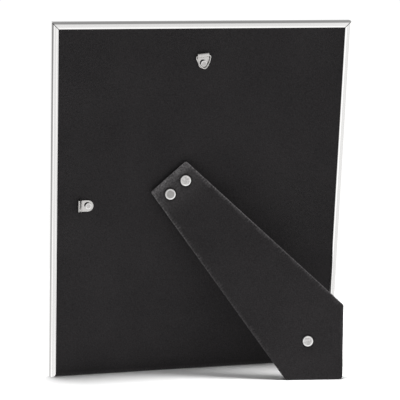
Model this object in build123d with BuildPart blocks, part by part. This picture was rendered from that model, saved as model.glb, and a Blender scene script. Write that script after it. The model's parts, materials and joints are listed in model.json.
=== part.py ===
"""Easel back photo frame for an 8 x 10 inch print, standing upright and leaning on its open strut.

The frame is drawn in the plane of its back: u runs to the right and v upwards as seen from behind,
n points out of the back.  The zero of n is the rear face of the metal lip, and the bottom edge of
that face is the line on which the frame stands.  All sizes are in millimetres and degrees.
"""
from build123d import *
from math import atan, cos, degrees, radians, sin, tan
import os

os.makedirs("parts", exist_ok=True)

# Overall size and the way it stands
FRAME_WIDTH = 254.0
FRAME_HEIGHT = 304.8
LEAN = 9.0
STRUT_OPEN = 17.5

# Pressed metal rails
SHEET = 1.0
FACE_WIDTH = 28.5
FACE_DEPTH = 8.1
FACE_BULGE = 1.4
LIP = 5.5
LIP_COINED = 1.8
LIP_FALL = 0.5
LIP_END_ROUND = 3.0
OUTER_ROUND = 2.0
INNER_ROUND = 0.7
MITRE_GAP = 0.36

# Layers inside the channel, each given by the depth of its front and rear face
GLASS_FRONT = -7.1
GLASS_REAR = -5.1
PHOTO_REAR = -4.8
BOARD_FRONT = -4.7
BOARD_REAR = -1.7
VELVET_REAR = -1.2
PHOTO_WIDTH = 203.2
PHOTO_HEIGHT = 254.0
WINDOW_PLAY = 0.4
BOARD_PLAY = 0.4
GUSSET_ARM = 44.0
GUSSET_WIDTH = 12.0
GUSSET_SHEET = 0.8

# Strut, measured down from the middle of its upper end on the outer face
STRUT_TOP = (-28.6, 175.3, 4.0)
STRUT_TURN = degrees(atan((FRAME_WIDTH / 2 - STRUT_TOP[0]) / STRUT_TOP[1]))
STRUT_TOP_WIDTH = 39.4
STRUT_FLARE = 6.0
STRUT_THICK = 3.2
STRUT_CORNER = 2.0
TIP_OFFSET = -3.8
TOP_ROLL_LENGTH = 13.0
TOP_ROLL_DROP = 1.5
PILE = 0.6
EDGE_ROLL = 0.5
HEM = 0.3
HEM_WIDTH = 5.0
LINING = 0.2

# Hinge under the upper end of the strut
HINGE_LIFT = 0.6
HINGE_DROP = 5.0
KNUCKLE_RADIUS = 1.5
PIN_RADIUS = 0.8
HINGE_WIDTH = 30.0
MIDDLE_KNUCKLE = 9.8
LEAF = 0.6
LEAF_LENGTH = 20.0
HINGE_BAY = (31.2, 2.7, 28.5)

# Rivets: head diameter, head height, shank diameter
BIG_RIVET = (9.0, 1.0, 3.6)
HANGER_RIVET = (5.2, 0.9, 2.4)
LEAF_RIVET = (6.0, 0.7, 3.0)
RIVET_PLAY = 0.05
HOLE_SIDES = 8
STRUT_RIVET_SPREAD = 8.6
STRUT_RIVET_DOWN = 12.1
LEAF_RIVET_DOWN = 18.5
STAY_ACROSS = -4.3
STAY_DOWN = 182.0

# Stay ribbon
RIBBON_WIDTH = 12.0
RIBBON_THICK = 0.4
RIBBON_TAIL = 8.0
RIBBON_LEAD = 5.5
RIBBON_BEND = 1.5

# Strap hangers with a triangular ring
STRAP_WIDTH = 9.6
STRAP_SHEET = 0.5
STRAP_SLACK = 1.2
STRAP_END = 5.9
STRAP_RIVET = 6.4
WIRE_RADIUS = 0.6
WIRE_PLAY = 0.08
STRAP_HOLE = 5.1
HOLE_SHIFT = 1.28
RING_HALF_BASE = 5.8
RING_SHOULDER = (6.0, -1.7)
RING_KNEE = (4.4, -6.0)
RING_HEIGHT = 11.6
RING_CORNER = 0.9
RING_BEND = 1.2
RING_BOW = 5.0
RING_TIP = 2.0
WIRE_SIDES = 7
TOP_HANGER = (-0.9, 276.5)
TOP_HANGER_TURN = 6.0
SIDE_HANGER = (-101.8, 151.0)
SIDE_RING_TURN = 99.0

lean_cos = cos(radians(LEAN))
lean_sin = sin(radians(LEAN))
open_cos = cos(radians(STRUT_OPEN))
open_sin = sin(radians(STRUT_OPEN))
turn_cos = cos(radians(STRUT_TURN))
turn_sin = sin(radians(STRUT_TURN))

# Slopes of the two foot edges that lie level on the floor, with the frame upright and on its side
tilt = open_sin * tan(radians(LEAN))
UPRIGHT_SLOPE = 1 / (open_cos * turn_cos / turn_sin + tilt / turn_sin)
SIDEWAYS_SLOPE = 1 / (open_cos * turn_sin / turn_cos + tilt / turn_cos)
# Length of the strut to its tip, whose inner edge stands on the floor
hem_depth = STRUT_THICK + HEM
tip_up = STRUT_TOP[1] + TIP_OFFSET * turn_sin - hem_depth * open_sin * turn_cos
inner_out = STRUT_TOP[2] - hem_depth * open_cos
drop_rate = lean_cos * open_cos * turn_cos + lean_sin * open_sin
STRUT_LENGTH = (lean_cos * tip_up - lean_sin * inner_out) / drop_rate

# Plane of the back, placed so that the foot and the front edge are equally far from the middle
foot_reach = (STRUT_TOP[2] + STRUT_LENGTH * open_sin) / lean_cos
STAND_BACK = (foot_reach - FACE_DEPTH * lean_cos) / 2
BACK = Plane(origin=(0, -STAND_BACK, 0), x_dir=(-1, 0, 0), z_dir=(0, lean_cos, -lean_sin))


def at(across, up, out):
    """Point in space for a place on the back."""
    return BACK.from_local_coords(Vector(across, up, out))


def tipped(plane, angle):
    """Plane turned about its own x axis so that its lower end comes out of the back."""
    raised = plane.z_dir * cos(radians(angle)) + plane.y_dir * sin(radians(angle))
    return Plane(origin=plane.origin, x_dir=plane.x_dir, z_dir=raised)


def turned_on_back(across, up, angle):
    """Plane lying on the back with its x axis turned anticlockwise as seen from behind."""
    along = BACK.x_dir * cos(radians(angle)) + BACK.y_dir * sin(radians(angle))
    return Plane(origin=at(across, up, 0), x_dir=along, z_dir=BACK.z_dir)


# Plane of the strut when folded flat, and opened on its stay; the y axis points up the strut
FLAT = turned_on_back(STRUT_TOP[0], STRUT_TOP[1], STRUT_TURN).offset(STRUT_TOP[2])
STRUT = tipped(FLAT, STRUT_OPEN)
hinge_dir = FLAT.x_dir
# Distance of the hinge axis from the upper end, down the open strut and down the back
AXIS_DOWN = (HINGE_LIFT - STRUT_TOP[2] + HINGE_DROP * open_cos) / open_sin
AXIS_DOWN_FLAT = AXIS_DOWN * open_cos + HINGE_DROP * open_sin
AXIS_POINT = STRUT.from_local_coords(Vector(0, -AXIS_DOWN, -HINGE_DROP))


def side_plane(plane, across, up, out):
    """Plane that cuts square across a piece: x up the given plane's y axis, y along its normal."""
    corner = plane.from_local_coords(Vector(across, up, out))
    return Plane(origin=corner, x_dir=plane.y_dir, z_dir=plane.x_dir)


def corner_near(sketch, x, y):
    """Corner of a flat outline that lies nearest to the given place."""
    return sketch.vertices().sort_by_distance((x, y, 0))[0]


def channel_section(plane, rear_depth):
    """Section of a rail: domed face, side wall, and a coined rear lip if the wall reaches the back.

    The x axis runs inwards from the outer side and the y axis out of the back.
    """
    with BuildSketch(plane) as section:
        with BuildLine():
            ThreePointArc(
                (0, -FACE_DEPTH),
                (FACE_WIDTH / 2, -FACE_DEPTH - FACE_BULGE),
                (FACE_WIDTH, -FACE_DEPTH),
            )
            Line((FACE_WIDTH, -FACE_DEPTH), (FACE_WIDTH, GLASS_FRONT))
            ThreePointArc(
                (FACE_WIDTH, GLASS_FRONT),
                (FACE_WIDTH / 2, GLASS_FRONT - FACE_BULGE),
                (SHEET, GLASS_FRONT - 0.1),
            )
            if rear_depth == 0:
                Polyline(
                    (SHEET, GLASS_FRONT - 0.1),
                    (SHEET, -SHEET),
                    (LIP, -SHEET),
                    (LIP, -LIP_FALL),
                )
                ThreePointArc(
                    (LIP, -LIP_FALL),
                    (LIP - LIP_COINED / 2, -LIP_FALL / 4),
                    (LIP - LIP_COINED, 0),
                )
                Polyline(
                    (LIP - LIP_COINED, 0),
                    (0, 0),
                    (0, -FACE_DEPTH),
                )
            else:
                Polyline(
                    (SHEET, GLASS_FRONT - 0.1),
                    (SHEET, rear_depth),
                    (0, rear_depth),
                    (0, -FACE_DEPTH),
                )
        make_face()
        fillet(corner_near(section, 0, -FACE_DEPTH), OUTER_ROUND)
        fillet(corner_near(section, FACE_WIDTH, -FACE_DEPTH), 0.7)
        if rear_depth == 0:
            fillet(corner_near(section, 0, 0), OUTER_ROUND)
            fillet(corner_near(section, SHEET, -SHEET), INNER_ROUND)
            fillet(corner_near(section, LIP, -LIP_FALL), 0.2)
    return section.sketch


def rivet_half(plane, size, grip, tail_height):
    """Half section of a set rivet on the plane it holds: low head, shank and spread tail.

    A rivet with no tail height ends flush with the far side of what it holds.
    """
    head_radius = size[0] / 2
    shank_radius = size[2] / 2
    tail = []
    if tail_height > 0:
        tail.append((shank_radius + 1.0, -grip))
        tail.append((shank_radius + 0.7, -grip - tail_height))
    with BuildSketch(side_plane(plane, 0, 0, 0)) as half:
        with BuildLine():
            Polyline(
                (0, size[1]),
                (head_radius * 0.8, size[1]),
                (head_radius, 0),
                (shank_radius, 0),
                (shank_radius, -grip),
                *tail,
                (0, -grip - tail_height),
                close=True,
            )
        make_face()
    return half.sketch


def punched(size):
    """Hole for a rivet in the open sketch; the head hides its many straight sides."""
    RegularPolygon(size[2] / 2 + RIVET_PLAY, HOLE_SIDES, major_radius=False, mode=Mode.SUBTRACT)


def strut_outline(plane, inset):
    """Outline of the strut: tapered sides and a foot cut to stand level both ways up."""
    half_top = STRUT_TOP_WIDTH / 2
    flare = tan(radians(STRUT_FLARE))
    # How far each foot edge runs across before it meets a tapered side
    half_foot = half_top + STRUT_LENGTH * flare
    left_run = (half_foot + TIP_OFFSET) / (1 + UPRIGHT_SLOPE * flare)
    right_run = (half_foot - TIP_OFFSET) / (1 + SIDEWAYS_SLOPE * flare)
    with BuildSketch(plane) as outline:
        with BuildLine():
            Polyline(
                (-half_top, 0),
                (half_top, 0),
                (TIP_OFFSET + right_run, right_run * SIDEWAYS_SLOPE - STRUT_LENGTH),
                (TIP_OFFSET, -STRUT_LENGTH),
                (TIP_OFFSET - left_run, left_run * UPRIGHT_SLOPE - STRUT_LENGTH),
                close=True,
            )
        make_face()
        fillet(outline.vertices(), STRUT_CORNER)
        if inset > 0:
            offset(amount=-inset)
    return outline.sketch


def top_roll(depth):
    """Area above the strut's upper end, where its outer face rolls down towards the back."""
    with BuildSketch(side_plane(STRUT, 0, 0, 0)) as area:
        with BuildLine():
            ThreePointArc(
                (-TOP_ROLL_LENGTH, -depth),
                (-TOP_ROLL_LENGTH / 2, -depth - TOP_ROLL_DROP / 4),
                (0, -depth - TOP_ROLL_DROP),
            )
            Polyline(
                (0, -depth - TOP_ROLL_DROP),
                (2, -depth - TOP_ROLL_DROP),
                (2, 2),
                (-TOP_ROLL_LENGTH, 2),
                (-TOP_ROLL_LENGTH, -depth),
            )
        make_face()
    return area.sketch


def strut_holes(plane):
    """Three rivet holes through the strut, many-sided because the heads hide them."""
    with BuildSketch(plane) as holes:
        with Locations(
            (-STRUT_RIVET_SPREAD, -STRUT_RIVET_DOWN),
            (STRUT_RIVET_SPREAD, -STRUT_RIVET_DOWN),
            (STAY_ACROSS, -STAY_DOWN),
        ):
            RegularPolygon(BIG_RIVET[2] / 2 + RIVET_PLAY, HOLE_SIDES, major_radius=False)
    return holes.sketch


def hinge_bay(plane):
    """Part of the strut's inner face that stays bare under the hinge."""
    with BuildSketch(plane) as bay:
        with Locations((0, -(HINGE_BAY[1] + HINGE_BAY[2]) / 2)):
            Rectangle(HINGE_BAY[0], HINGE_BAY[2] - HINGE_BAY[1])
    return bay.sketch


def lined_area(plane, inset):
    """Inner face of the strut inside the turned-in hem, from below the hinge to the foot."""
    with BuildSketch(plane) as area:
        add(strut_outline(Plane.XY, inset))
        Rectangle(FRAME_WIDTH / 2, 2 * HINGE_BAY[2], mode=Mode.SUBTRACT)
    return area.sketch


def knuckle_section(plane, down, out, leaf_out, step):
    """Section of a hinge leaf rolled round the pin, with the leaf running down from the knuckle."""
    with BuildSketch(plane) as section:
        with Locations((-down, out)):
            Circle(KNUCKLE_RADIUS)
        with BuildLine():
            Polyline(
                (-down, leaf_out),
                (-down - step, leaf_out),
                (-down - step, leaf_out + LEAF),
                (-down, leaf_out + LEAF),
                close=True,
            )
        make_face()
        with Locations((-down, out)):
            Circle(PIN_RADIUS + RIVET_PLAY, mode=Mode.SUBTRACT)
    return section.sketch


# Places on the back for the rivets that go through the board
STAY_DOWN_FLAT = AXIS_DOWN_FLAT + STAY_DOWN - AXIS_DOWN
stay_place = BACK.to_local_coords(FLAT.from_local_coords(Vector(STAY_ACROSS, -STAY_DOWN_FLAT, 0)))
leaf_places = [
    BACK.to_local_coords(FLAT.from_local_coords(Vector(side, -AXIS_DOWN_FLAT - LEAF_RIVET_DOWN, 0)))
    for side in (-STRUT_RIVET_SPREAD, STRUT_RIVET_SPREAD)
]
barrel_out = VELVET_REAR + WIRE_RADIUS + WIRE_PLAY + STRAP_SHEET
strap_top = VELVET_REAR + 2 * STRAP_SHEET
TOP_STRAP = turned_on_back(TOP_HANGER[0], TOP_HANGER[1], TOP_HANGER_TURN)
SIDE_STRAP = turned_on_back(SIDE_HANGER[0], SIDE_HANGER[1], 90)
top_rivet_place = BACK.to_local_coords(TOP_STRAP.from_local_coords(Vector(0, -STRAP_RIVET, 0)))
side_rivet_place = BACK.to_local_coords(SIDE_STRAP.from_local_coords(Vector(0, -STRAP_RIVET, 0)))


def board_holes(plane):
    """Five rivet holes through the back board and its velvet."""
    with BuildSketch(plane) as holes:
        with Locations([(place.X, place.Y) for place in (stay_place, *leaf_places)]):
            RegularPolygon(LEAF_RIVET[2] / 2 + RIVET_PLAY, HOLE_SIDES, major_radius=False)
        with Locations([(place.X, place.Y) for place in (top_rivet_place, side_rivet_place)]):
            RegularPolygon(HANGER_RIVET[2] / 2 + RIVET_PLAY, HOLE_SIDES, major_radius=False)
    return holes.sketch


# Upper rail, mitred at both ends through its whole section
top_plane = Plane(origin=at(0, FRAME_HEIGHT, 0), x_dir=-BACK.y_dir, z_dir=-BACK.x_dir)
with BuildPart() as top_rail:
    extrude(channel_section(top_plane, 0), amount=FRAME_WIDTH / 2, both=True)
    for side in (-1, 1):
        mitre = Plane(
            origin=at(side * (FRAME_WIDTH / 2 - MITRE_GAP), FRAME_HEIGHT, 0),
            x_dir=BACK.z_dir,
            z_dir=BACK.y_dir - BACK.x_dir * side,
        )
        split(bisect_by=mitre, keep=Keep.TOP)
top_rail.part.label = "top_rail"
export_step(top_rail.part, "parts/top_rail.step")

# Side rail on the left seen from behind: lip and wall run to the floor, only the face is mitred below
left_plane = Plane(origin=at(-FRAME_WIDTH / 2, 0, 0), x_dir=BACK.x_dir, z_dir=-BACK.y_dir)
with BuildPart() as left_rail:
    extrude(channel_section(left_plane, 0), amount=-FRAME_HEIGHT)
    upper_mitre = Plane(
        origin=at(-FRAME_WIDTH / 2, FRAME_HEIGHT - MITRE_GAP, 0),
        x_dir=BACK.z_dir,
        z_dir=-BACK.y_dir - BACK.x_dir,
    )
    split(bisect_by=upper_mitre, keep=Keep.TOP)
    with BuildSketch(BACK.offset(PHOTO_REAR + 0.02)):
        with BuildLine():
            Polyline(
                (-FRAME_WIDTH / 2, -1),
                (-FRAME_WIDTH / 2, MITRE_GAP),
                (-FRAME_WIDTH / 2 + 40, 40 + MITRE_GAP),
                (-FRAME_WIDTH / 2 + 40, -1),
                close=True,
            )
        make_face()
    extrude(amount=-8, mode=Mode.SUBTRACT)
    with BuildSketch(BACK.offset(-SHEET - 0.1)):
        lip_edge = -FRAME_WIDTH / 2 + LIP
        with Locations((lip_edge, 0)):
            Rectangle(2 * LIP_END_ROUND, 2 * LIP_END_ROUND)
        with Locations((lip_edge - LIP_END_ROUND, LIP_END_ROUND)):
            Circle(LIP_END_ROUND, mode=Mode.SUBTRACT)
    extrude(amount=SHEET + 0.2, mode=Mode.SUBTRACT)
left_rail.part.label = "left_rail"
export_step(left_rail.part, "parts/left_rail.step")

# The other side rail is its mirror image
with BuildPart() as right_rail:
    mirror(left_rail.part, about=Plane.YZ)
right_rail.part.label = "right_rail"
export_step(right_rail.part, "parts/right_rail.step")

# Lower rail: face and a shallow ledge under the glass, open behind so that the back slides out
bottom_plane = Plane(origin=at(0, 0, 0), x_dir=BACK.y_dir, z_dir=BACK.x_dir)
with BuildPart() as bottom_rail:
    extrude(channel_section(bottom_plane, PHOTO_REAR), amount=FRAME_WIDTH / 2, both=True)
    for side in (-1, 1):
        mitre = Plane(
            origin=at(side * (FRAME_WIDTH / 2 - MITRE_GAP), 0, 0),
            x_dir=BACK.z_dir,
            z_dir=-BACK.y_dir - BACK.x_dir * side,
        )
        split(bisect_by=mitre, keep=Keep.TOP)
bottom_rail.part.label = "bottom_rail"
export_step(bottom_rail.part, "parts/bottom_rail.step")

# Flat corner gussets in the hollow of the domed face, one behind each mitre
gusset_names = {
    (-1, 1): "gusset_top_left",
    (1, 1): "gusset_top_right",
    (-1, -1): "gusset_bottom_left",
    (1, -1): "gusset_bottom_right",
}
for (side, end), name in gusset_names.items():
    with BuildPart() as gusset:
        middle = FACE_WIDTH / 2
        corner_u = side * (FRAME_WIDTH / 2 - middle)
        corner_v = FRAME_HEIGHT / 2 + end * (FRAME_HEIGHT / 2 - middle)
        half = GUSSET_WIDTH / 2
        with BuildSketch(BACK.offset(GLASS_FRONT)):
            with BuildLine():
                Polyline(
                    (corner_u + side * half, corner_v + end * half),
                    (corner_u + side * half, corner_v - end * GUSSET_ARM),
                    (corner_u - side * half, corner_v - end * GUSSET_ARM),
                    (corner_u - side * half, corner_v - end * half),
                    (corner_u - side * GUSSET_ARM, corner_v - end * half),
                    (corner_u - side * GUSSET_ARM, corner_v + end * half),
                    close=True,
                )
            make_face()
        extrude(amount=-GUSSET_SHEET)
    gusset.part.label = name
    export_step(gusset.part, f"parts/{name}.step")

# Card liner that fills the channel round the glass and centres the print behind the face
with BuildPart() as card_liner:
    inner_width = FRAME_WIDTH - 2 * SHEET - BOARD_PLAY
    inner_height = FRAME_HEIGHT - 2 * SHEET - BOARD_PLAY
    with BuildSketch(BACK.offset(GLASS_FRONT)):
        with Locations((0, FRAME_HEIGHT / 2)):
            Rectangle(inner_width, inner_height)
            Rectangle(PHOTO_WIDTH + WINDOW_PLAY, PHOTO_HEIGHT + WINDOW_PLAY, mode=Mode.SUBTRACT)
    extrude(amount=PHOTO_REAR - GLASS_FRONT)
card_liner.part.label = "card_liner"
export_step(card_liner.part, "parts/card_liner.step")

# Glass and the print behind it
with BuildPart() as glass_pane:
    with BuildSketch(BACK.offset(GLASS_FRONT)):
        with Locations((0, FRAME_HEIGHT / 2)):
            Rectangle(PHOTO_WIDTH, PHOTO_HEIGHT)
    extrude(amount=GLASS_REAR - GLASS_FRONT)
glass_pane.part.label = "glass_pane"
export_step(glass_pane.part, "parts/glass_pane.step")

with BuildPart() as photo_insert:
    with BuildSketch(BACK.offset(GLASS_REAR)):
        with Locations((0, FRAME_HEIGHT / 2)):
            Rectangle(PHOTO_WIDTH, PHOTO_HEIGHT)
    extrude(amount=PHOTO_REAR - GLASS_REAR)
photo_insert.part.label = "photo_insert"
export_step(photo_insert.part, "parts/photo_insert.step")

# Hardboard back with its rivet holes
back_width = FRAME_WIDTH - 2 * SHEET - 2 * BOARD_PLAY
back_height = FRAME_HEIGHT - SHEET - BOARD_PLAY
velvet_thick = VELVET_REAR - BOARD_REAR
with BuildPart() as back_board:
    with BuildSketch(BACK.offset(BOARD_FRONT)):
        with Locations((0, (back_height + velvet_thick) / 2)):
            Rectangle(back_width, back_height - velvet_thick)
    extrude(amount=BOARD_REAR - BOARD_FRONT)
    bare_board = back_board.part
    extrude(board_holes(BACK.offset(BOARD_FRONT)), amount=5, mode=Mode.SUBTRACT)
back_board.part.label = "back_board"
export_step(back_board.part, "parts/back_board.step")

# Velvet laid over the rear of the board and turned round its lower edge
with BuildPart() as board_velvet:
    with BuildSketch(BACK.offset(BOARD_FRONT)):
        with Locations((0, back_height / 2)):
            Rectangle(back_width, back_height)
    extrude(amount=VELVET_REAR - BOARD_FRONT)
    add(bare_board, mode=Mode.SUBTRACT)
    extrude(board_holes(BACK.offset(BOARD_FRONT)), amount=5, mode=Mode.SUBTRACT)
board_velvet.part.label = "board_velvet"
export_step(board_velvet.part, "parts/board_velvet.step")

# Fixed hinge leaf on the board, with a knuckle at each end of the pin
leaf_slot = side_plane(FLAT, 0, 0, -STRUT_TOP[2])
knuckle_gap = 0.2
outer_knuckle = (HINGE_WIDTH - MIDDLE_KNUCKLE) / 2 - knuckle_gap
with BuildPart() as hinge_board_leaf:
    for side in (-1, 1):
        start = leaf_slot.offset(side * (HINGE_WIDTH - outer_knuckle) / 2)
        section = knuckle_section(start, AXIS_DOWN_FLAT, HINGE_LIFT, VELVET_REAR, 4)
        extrude(section, amount=outer_knuckle / 2, both=True)
    with BuildSketch(FLAT.offset(VELVET_REAR - STRUT_TOP[2])) as plate:
        with Locations((0, -AXIS_DOWN_FLAT - 2 - LEAF_LENGTH / 2)):
            Rectangle(HINGE_WIDTH, LEAF_LENGTH)
        with Locations(*[(side, -AXIS_DOWN_FLAT - LEAF_RIVET_DOWN)
                         for side in (-STRUT_RIVET_SPREAD, STRUT_RIVET_SPREAD)]):
            punched(LEAF_RIVET)
    extrude(plate.sketch, amount=LEAF)
    foot = hinge_board_leaf.edges().filter_by(Axis(at(0, 0, 0), BACK.z_dir))
    fillet(foot.sort_by(Axis(at(0, 0, 0), FLAT.y_dir))[:2], 4)
hinge_board_leaf.part.label = "hinge_board_leaf"
export_step(hinge_board_leaf.part, "parts/hinge_board_leaf.step")

# Moving hinge leaf on the strut, with the middle knuckle
with BuildPart() as hinge_strut_leaf:
    middle_section = knuckle_section(
        side_plane(STRUT, 0, 0, 0), AXIS_DOWN, -HINGE_DROP, -STRUT_THICK - LEAF, 4
    )
    extrude(middle_section, amount=MIDDLE_KNUCKLE / 2 - knuckle_gap, both=True)
    with BuildSketch(STRUT.offset(-STRUT_THICK - LEAF)) as plate:
        with Locations((0, -AXIS_DOWN - 2.4 - LEAF_LENGTH / 2)):
            Rectangle(HINGE_WIDTH, LEAF_LENGTH)
        with Locations(*[(side, -STRUT_RIVET_DOWN)
                         for side in (-STRUT_RIVET_SPREAD, STRUT_RIVET_SPREAD)]):
            punched(BIG_RIVET)
    extrude(plate.sketch, amount=LEAF)
    foot = hinge_strut_leaf.edges().filter_by(Axis(at(0, 0, 0), STRUT.z_dir))
    fillet(foot.sort_by(Axis(at(0, 0, 0), STRUT.y_dir))[:2], 4)
hinge_strut_leaf.part.label = "hinge_strut_leaf"
export_step(hinge_strut_leaf.part, "parts/hinge_strut_leaf.step")

# Hinge pin through all three knuckles
with BuildPart() as hinge_pin:
    with BuildSketch(Plane(origin=AXIS_POINT, x_dir=BACK.z_dir, z_dir=hinge_dir)):
        Circle(PIN_RADIUS)
    extrude(amount=HINGE_WIDTH / 2 + 0.4, both=True)
hinge_pin.part.label = "hinge_pin"
export_step(hinge_pin.part, "parts/hinge_pin.step")

# Two rivets that hold the fixed leaf to the board
with BuildPart() as hinge_board_rivets:
    for place in leaf_places:
        seat = Plane(
            origin=at(place.X, place.Y, VELVET_REAR + LEAF), x_dir=BACK.x_dir, z_dir=BACK.z_dir
        )
        grip = VELVET_REAR + LEAF - BOARD_FRONT
        revolve(rivet_half(seat, LEAF_RIVET, grip, 0), Axis(seat.origin, seat.z_dir))
hinge_board_rivets.part.label = "hinge_board_rivets"
export_step(hinge_board_rivets.part, "parts/hinge_board_rivets.step")

# Strut core of hardboard, rolled off at its upper end
inner_face = STRUT.offset(-STRUT_THICK)
with BuildPart() as strut_board:
    extrude(strut_outline(STRUT.offset(-STRUT_THICK), PILE), amount=STRUT_THICK - PILE)
    extrude(top_roll(PILE), amount=FRAME_WIDTH / 4, both=True, mode=Mode.SUBTRACT)
    bare_strut = strut_board.part
    extrude(strut_holes(STRUT.offset(1)), amount=-6, mode=Mode.SUBTRACT)
strut_board.part.label = "strut_board"
export_step(strut_board.part, "parts/strut_board.step")

# Velvet over the outer face of the strut and round all its edges, with a hem on the inner face
with BuildPart() as strut_velvet:
    extrude(strut_outline(STRUT.offset(-STRUT_THICK), 0), amount=STRUT_THICK)
    extrude(top_roll(0), amount=FRAME_WIDTH / 4, both=True, mode=Mode.SUBTRACT)
    rim = ShapeList()
    for edge in strut_velvet.edges():
        end_height = min(STRUT.to_local_coords(edge @ 0).Z, STRUT.to_local_coords(edge @ 1).Z)
        crosses = abs(edge.tangent_at(0.5).dot(STRUT.x_dir)) > 0.99 and edge.length > 36
        on_seam = crosses and abs(STRUT.to_local_coords(edge @ 0.5).Y + TOP_ROLL_LENGTH) < 1
        if end_height > -STRUT_THICK + 0.2 and not on_seam:
            rim.append(edge)
    fillet(rim, EDGE_ROLL)
    add(bare_strut, mode=Mode.SUBTRACT)
    extrude(strut_outline(inner_face, 0), amount=-HEM)
    extrude(lined_area(inner_face, HEM_WIDTH), amount=-HEM, mode=Mode.SUBTRACT)
    extrude(hinge_bay(inner_face), amount=-HEM, mode=Mode.SUBTRACT)
    extrude(strut_holes(STRUT.offset(1)), amount=-6, mode=Mode.SUBTRACT)
strut_velvet.part.label = "strut_velvet"
export_step(strut_velvet.part, "parts/strut_velvet.step")

# Black paper lining glued to the inner face of the strut inside the hem
with BuildPart() as strut_lining:
    extrude(lined_area(inner_face, HEM_WIDTH + 0.1), amount=-LINING)
    extrude(strut_holes(STRUT.offset(1)), amount=-6, mode=Mode.SUBTRACT)
strut_lining.part.label = "strut_lining"
export_step(strut_lining.part, "parts/strut_lining.step")

# Two rivets through the strut and its hinge leaf
with BuildPart() as strut_rivets:
    for side in (-STRUT_RIVET_SPREAD, STRUT_RIVET_SPREAD):
        seat = Plane(
            origin=STRUT.from_local_coords(Vector(side, -STRUT_RIVET_DOWN, 0)),
            x_dir=STRUT.x_dir,
            z_dir=STRUT.z_dir,
        )
        section = rivet_half(seat, BIG_RIVET, STRUT_THICK + LEAF, 0.6)
        revolve(section, Axis(seat.origin, seat.z_dir))
strut_rivets.part.label = "strut_rivets"
export_step(strut_rivets.part, "parts/strut_rivets.step")

# Rivet near the foot, which holds the stay ribbon to the inner face
with BuildPart() as foot_rivet:
    seat = Plane(
        origin=STRUT.from_local_coords(Vector(STAY_ACROSS, -STAY_DOWN, 0)),
        x_dir=STRUT.x_dir,
        z_dir=STRUT.z_dir,
    )
    stay_grip = STRUT_THICK + LINING + RIBBON_THICK
    section = rivet_half(seat, BIG_RIVET, stay_grip, 0.6)
    revolve(section, Axis(seat.origin, seat.z_dir))
foot_rivet.part.label = "foot_rivet"
export_step(foot_rivet.part, "parts/foot_rivet.step")

# Rivet that holds the other end of the stay to the board
with BuildPart() as stay_rivet:
    seat = Plane(
        origin=at(stay_place.X, stay_place.Y, VELVET_REAR + RIBBON_THICK),
        x_dir=BACK.x_dir,
        z_dir=BACK.z_dir,
    )
    grip = VELVET_REAR + RIBBON_THICK - BOARD_FRONT
    section = rivet_half(seat, LEAF_RIVET, grip, 0)
    revolve(section, Axis(seat.origin, seat.z_dir))
stay_rivet.part.label = "stay_rivet"
export_step(stay_rivet.part, "parts/stay_rivet.step")

# Stay ribbon, pulled straight between strut and board with a flat tail under each rivet
ribbon_side = side_plane(FLAT, STAY_ACROSS, 0, -STRUT_TOP[2])


def beside_strut(down):
    """Place in the ribbon's side view of a point on the lined inner face of the strut."""
    point = STRUT.from_local_coords(Vector(STAY_ACROSS, -down, -STRUT_THICK - LINING))
    flat = ribbon_side.to_local_coords(point)
    return (flat.X, flat.Y)


with BuildPart() as stay_ribbon:
    with BuildSketch(ribbon_side) as section:
        with BuildLine() as path:
            FilletPolyline(
                beside_strut(STAY_DOWN + RIBBON_TAIL),
                beside_strut(STAY_DOWN - RIBBON_LEAD),
                (-STAY_DOWN_FLAT + RIBBON_LEAD, VELVET_REAR),
                (-STAY_DOWN_FLAT - RIBBON_TAIL, VELVET_REAR),
                radius=RIBBON_BEND,
            )
            offset(amount=RIBBON_THICK, side=Side.RIGHT)
        make_face()
    extrude(amount=RIBBON_WIDTH / 2, both=True)
    for plane, down in ((STRUT, STAY_DOWN), (FLAT, STAY_DOWN_FLAT)):
        with BuildSketch(Plane(
            origin=plane.from_local_coords(Vector(STAY_ACROSS, -down, -STRUT_THICK)),
            x_dir=plane.x_dir,
            z_dir=plane.z_dir,
        )):
            RegularPolygon(BIG_RIVET[2] / 2 + RIVET_PLAY, HOLE_SIDES, major_radius=False)
        extrude(amount=3, both=True, mode=Mode.SUBTRACT)
stay_ribbon.part.label = "stay_ribbon"
export_step(stay_ribbon.part, "parts/stay_ribbon.step")

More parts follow.
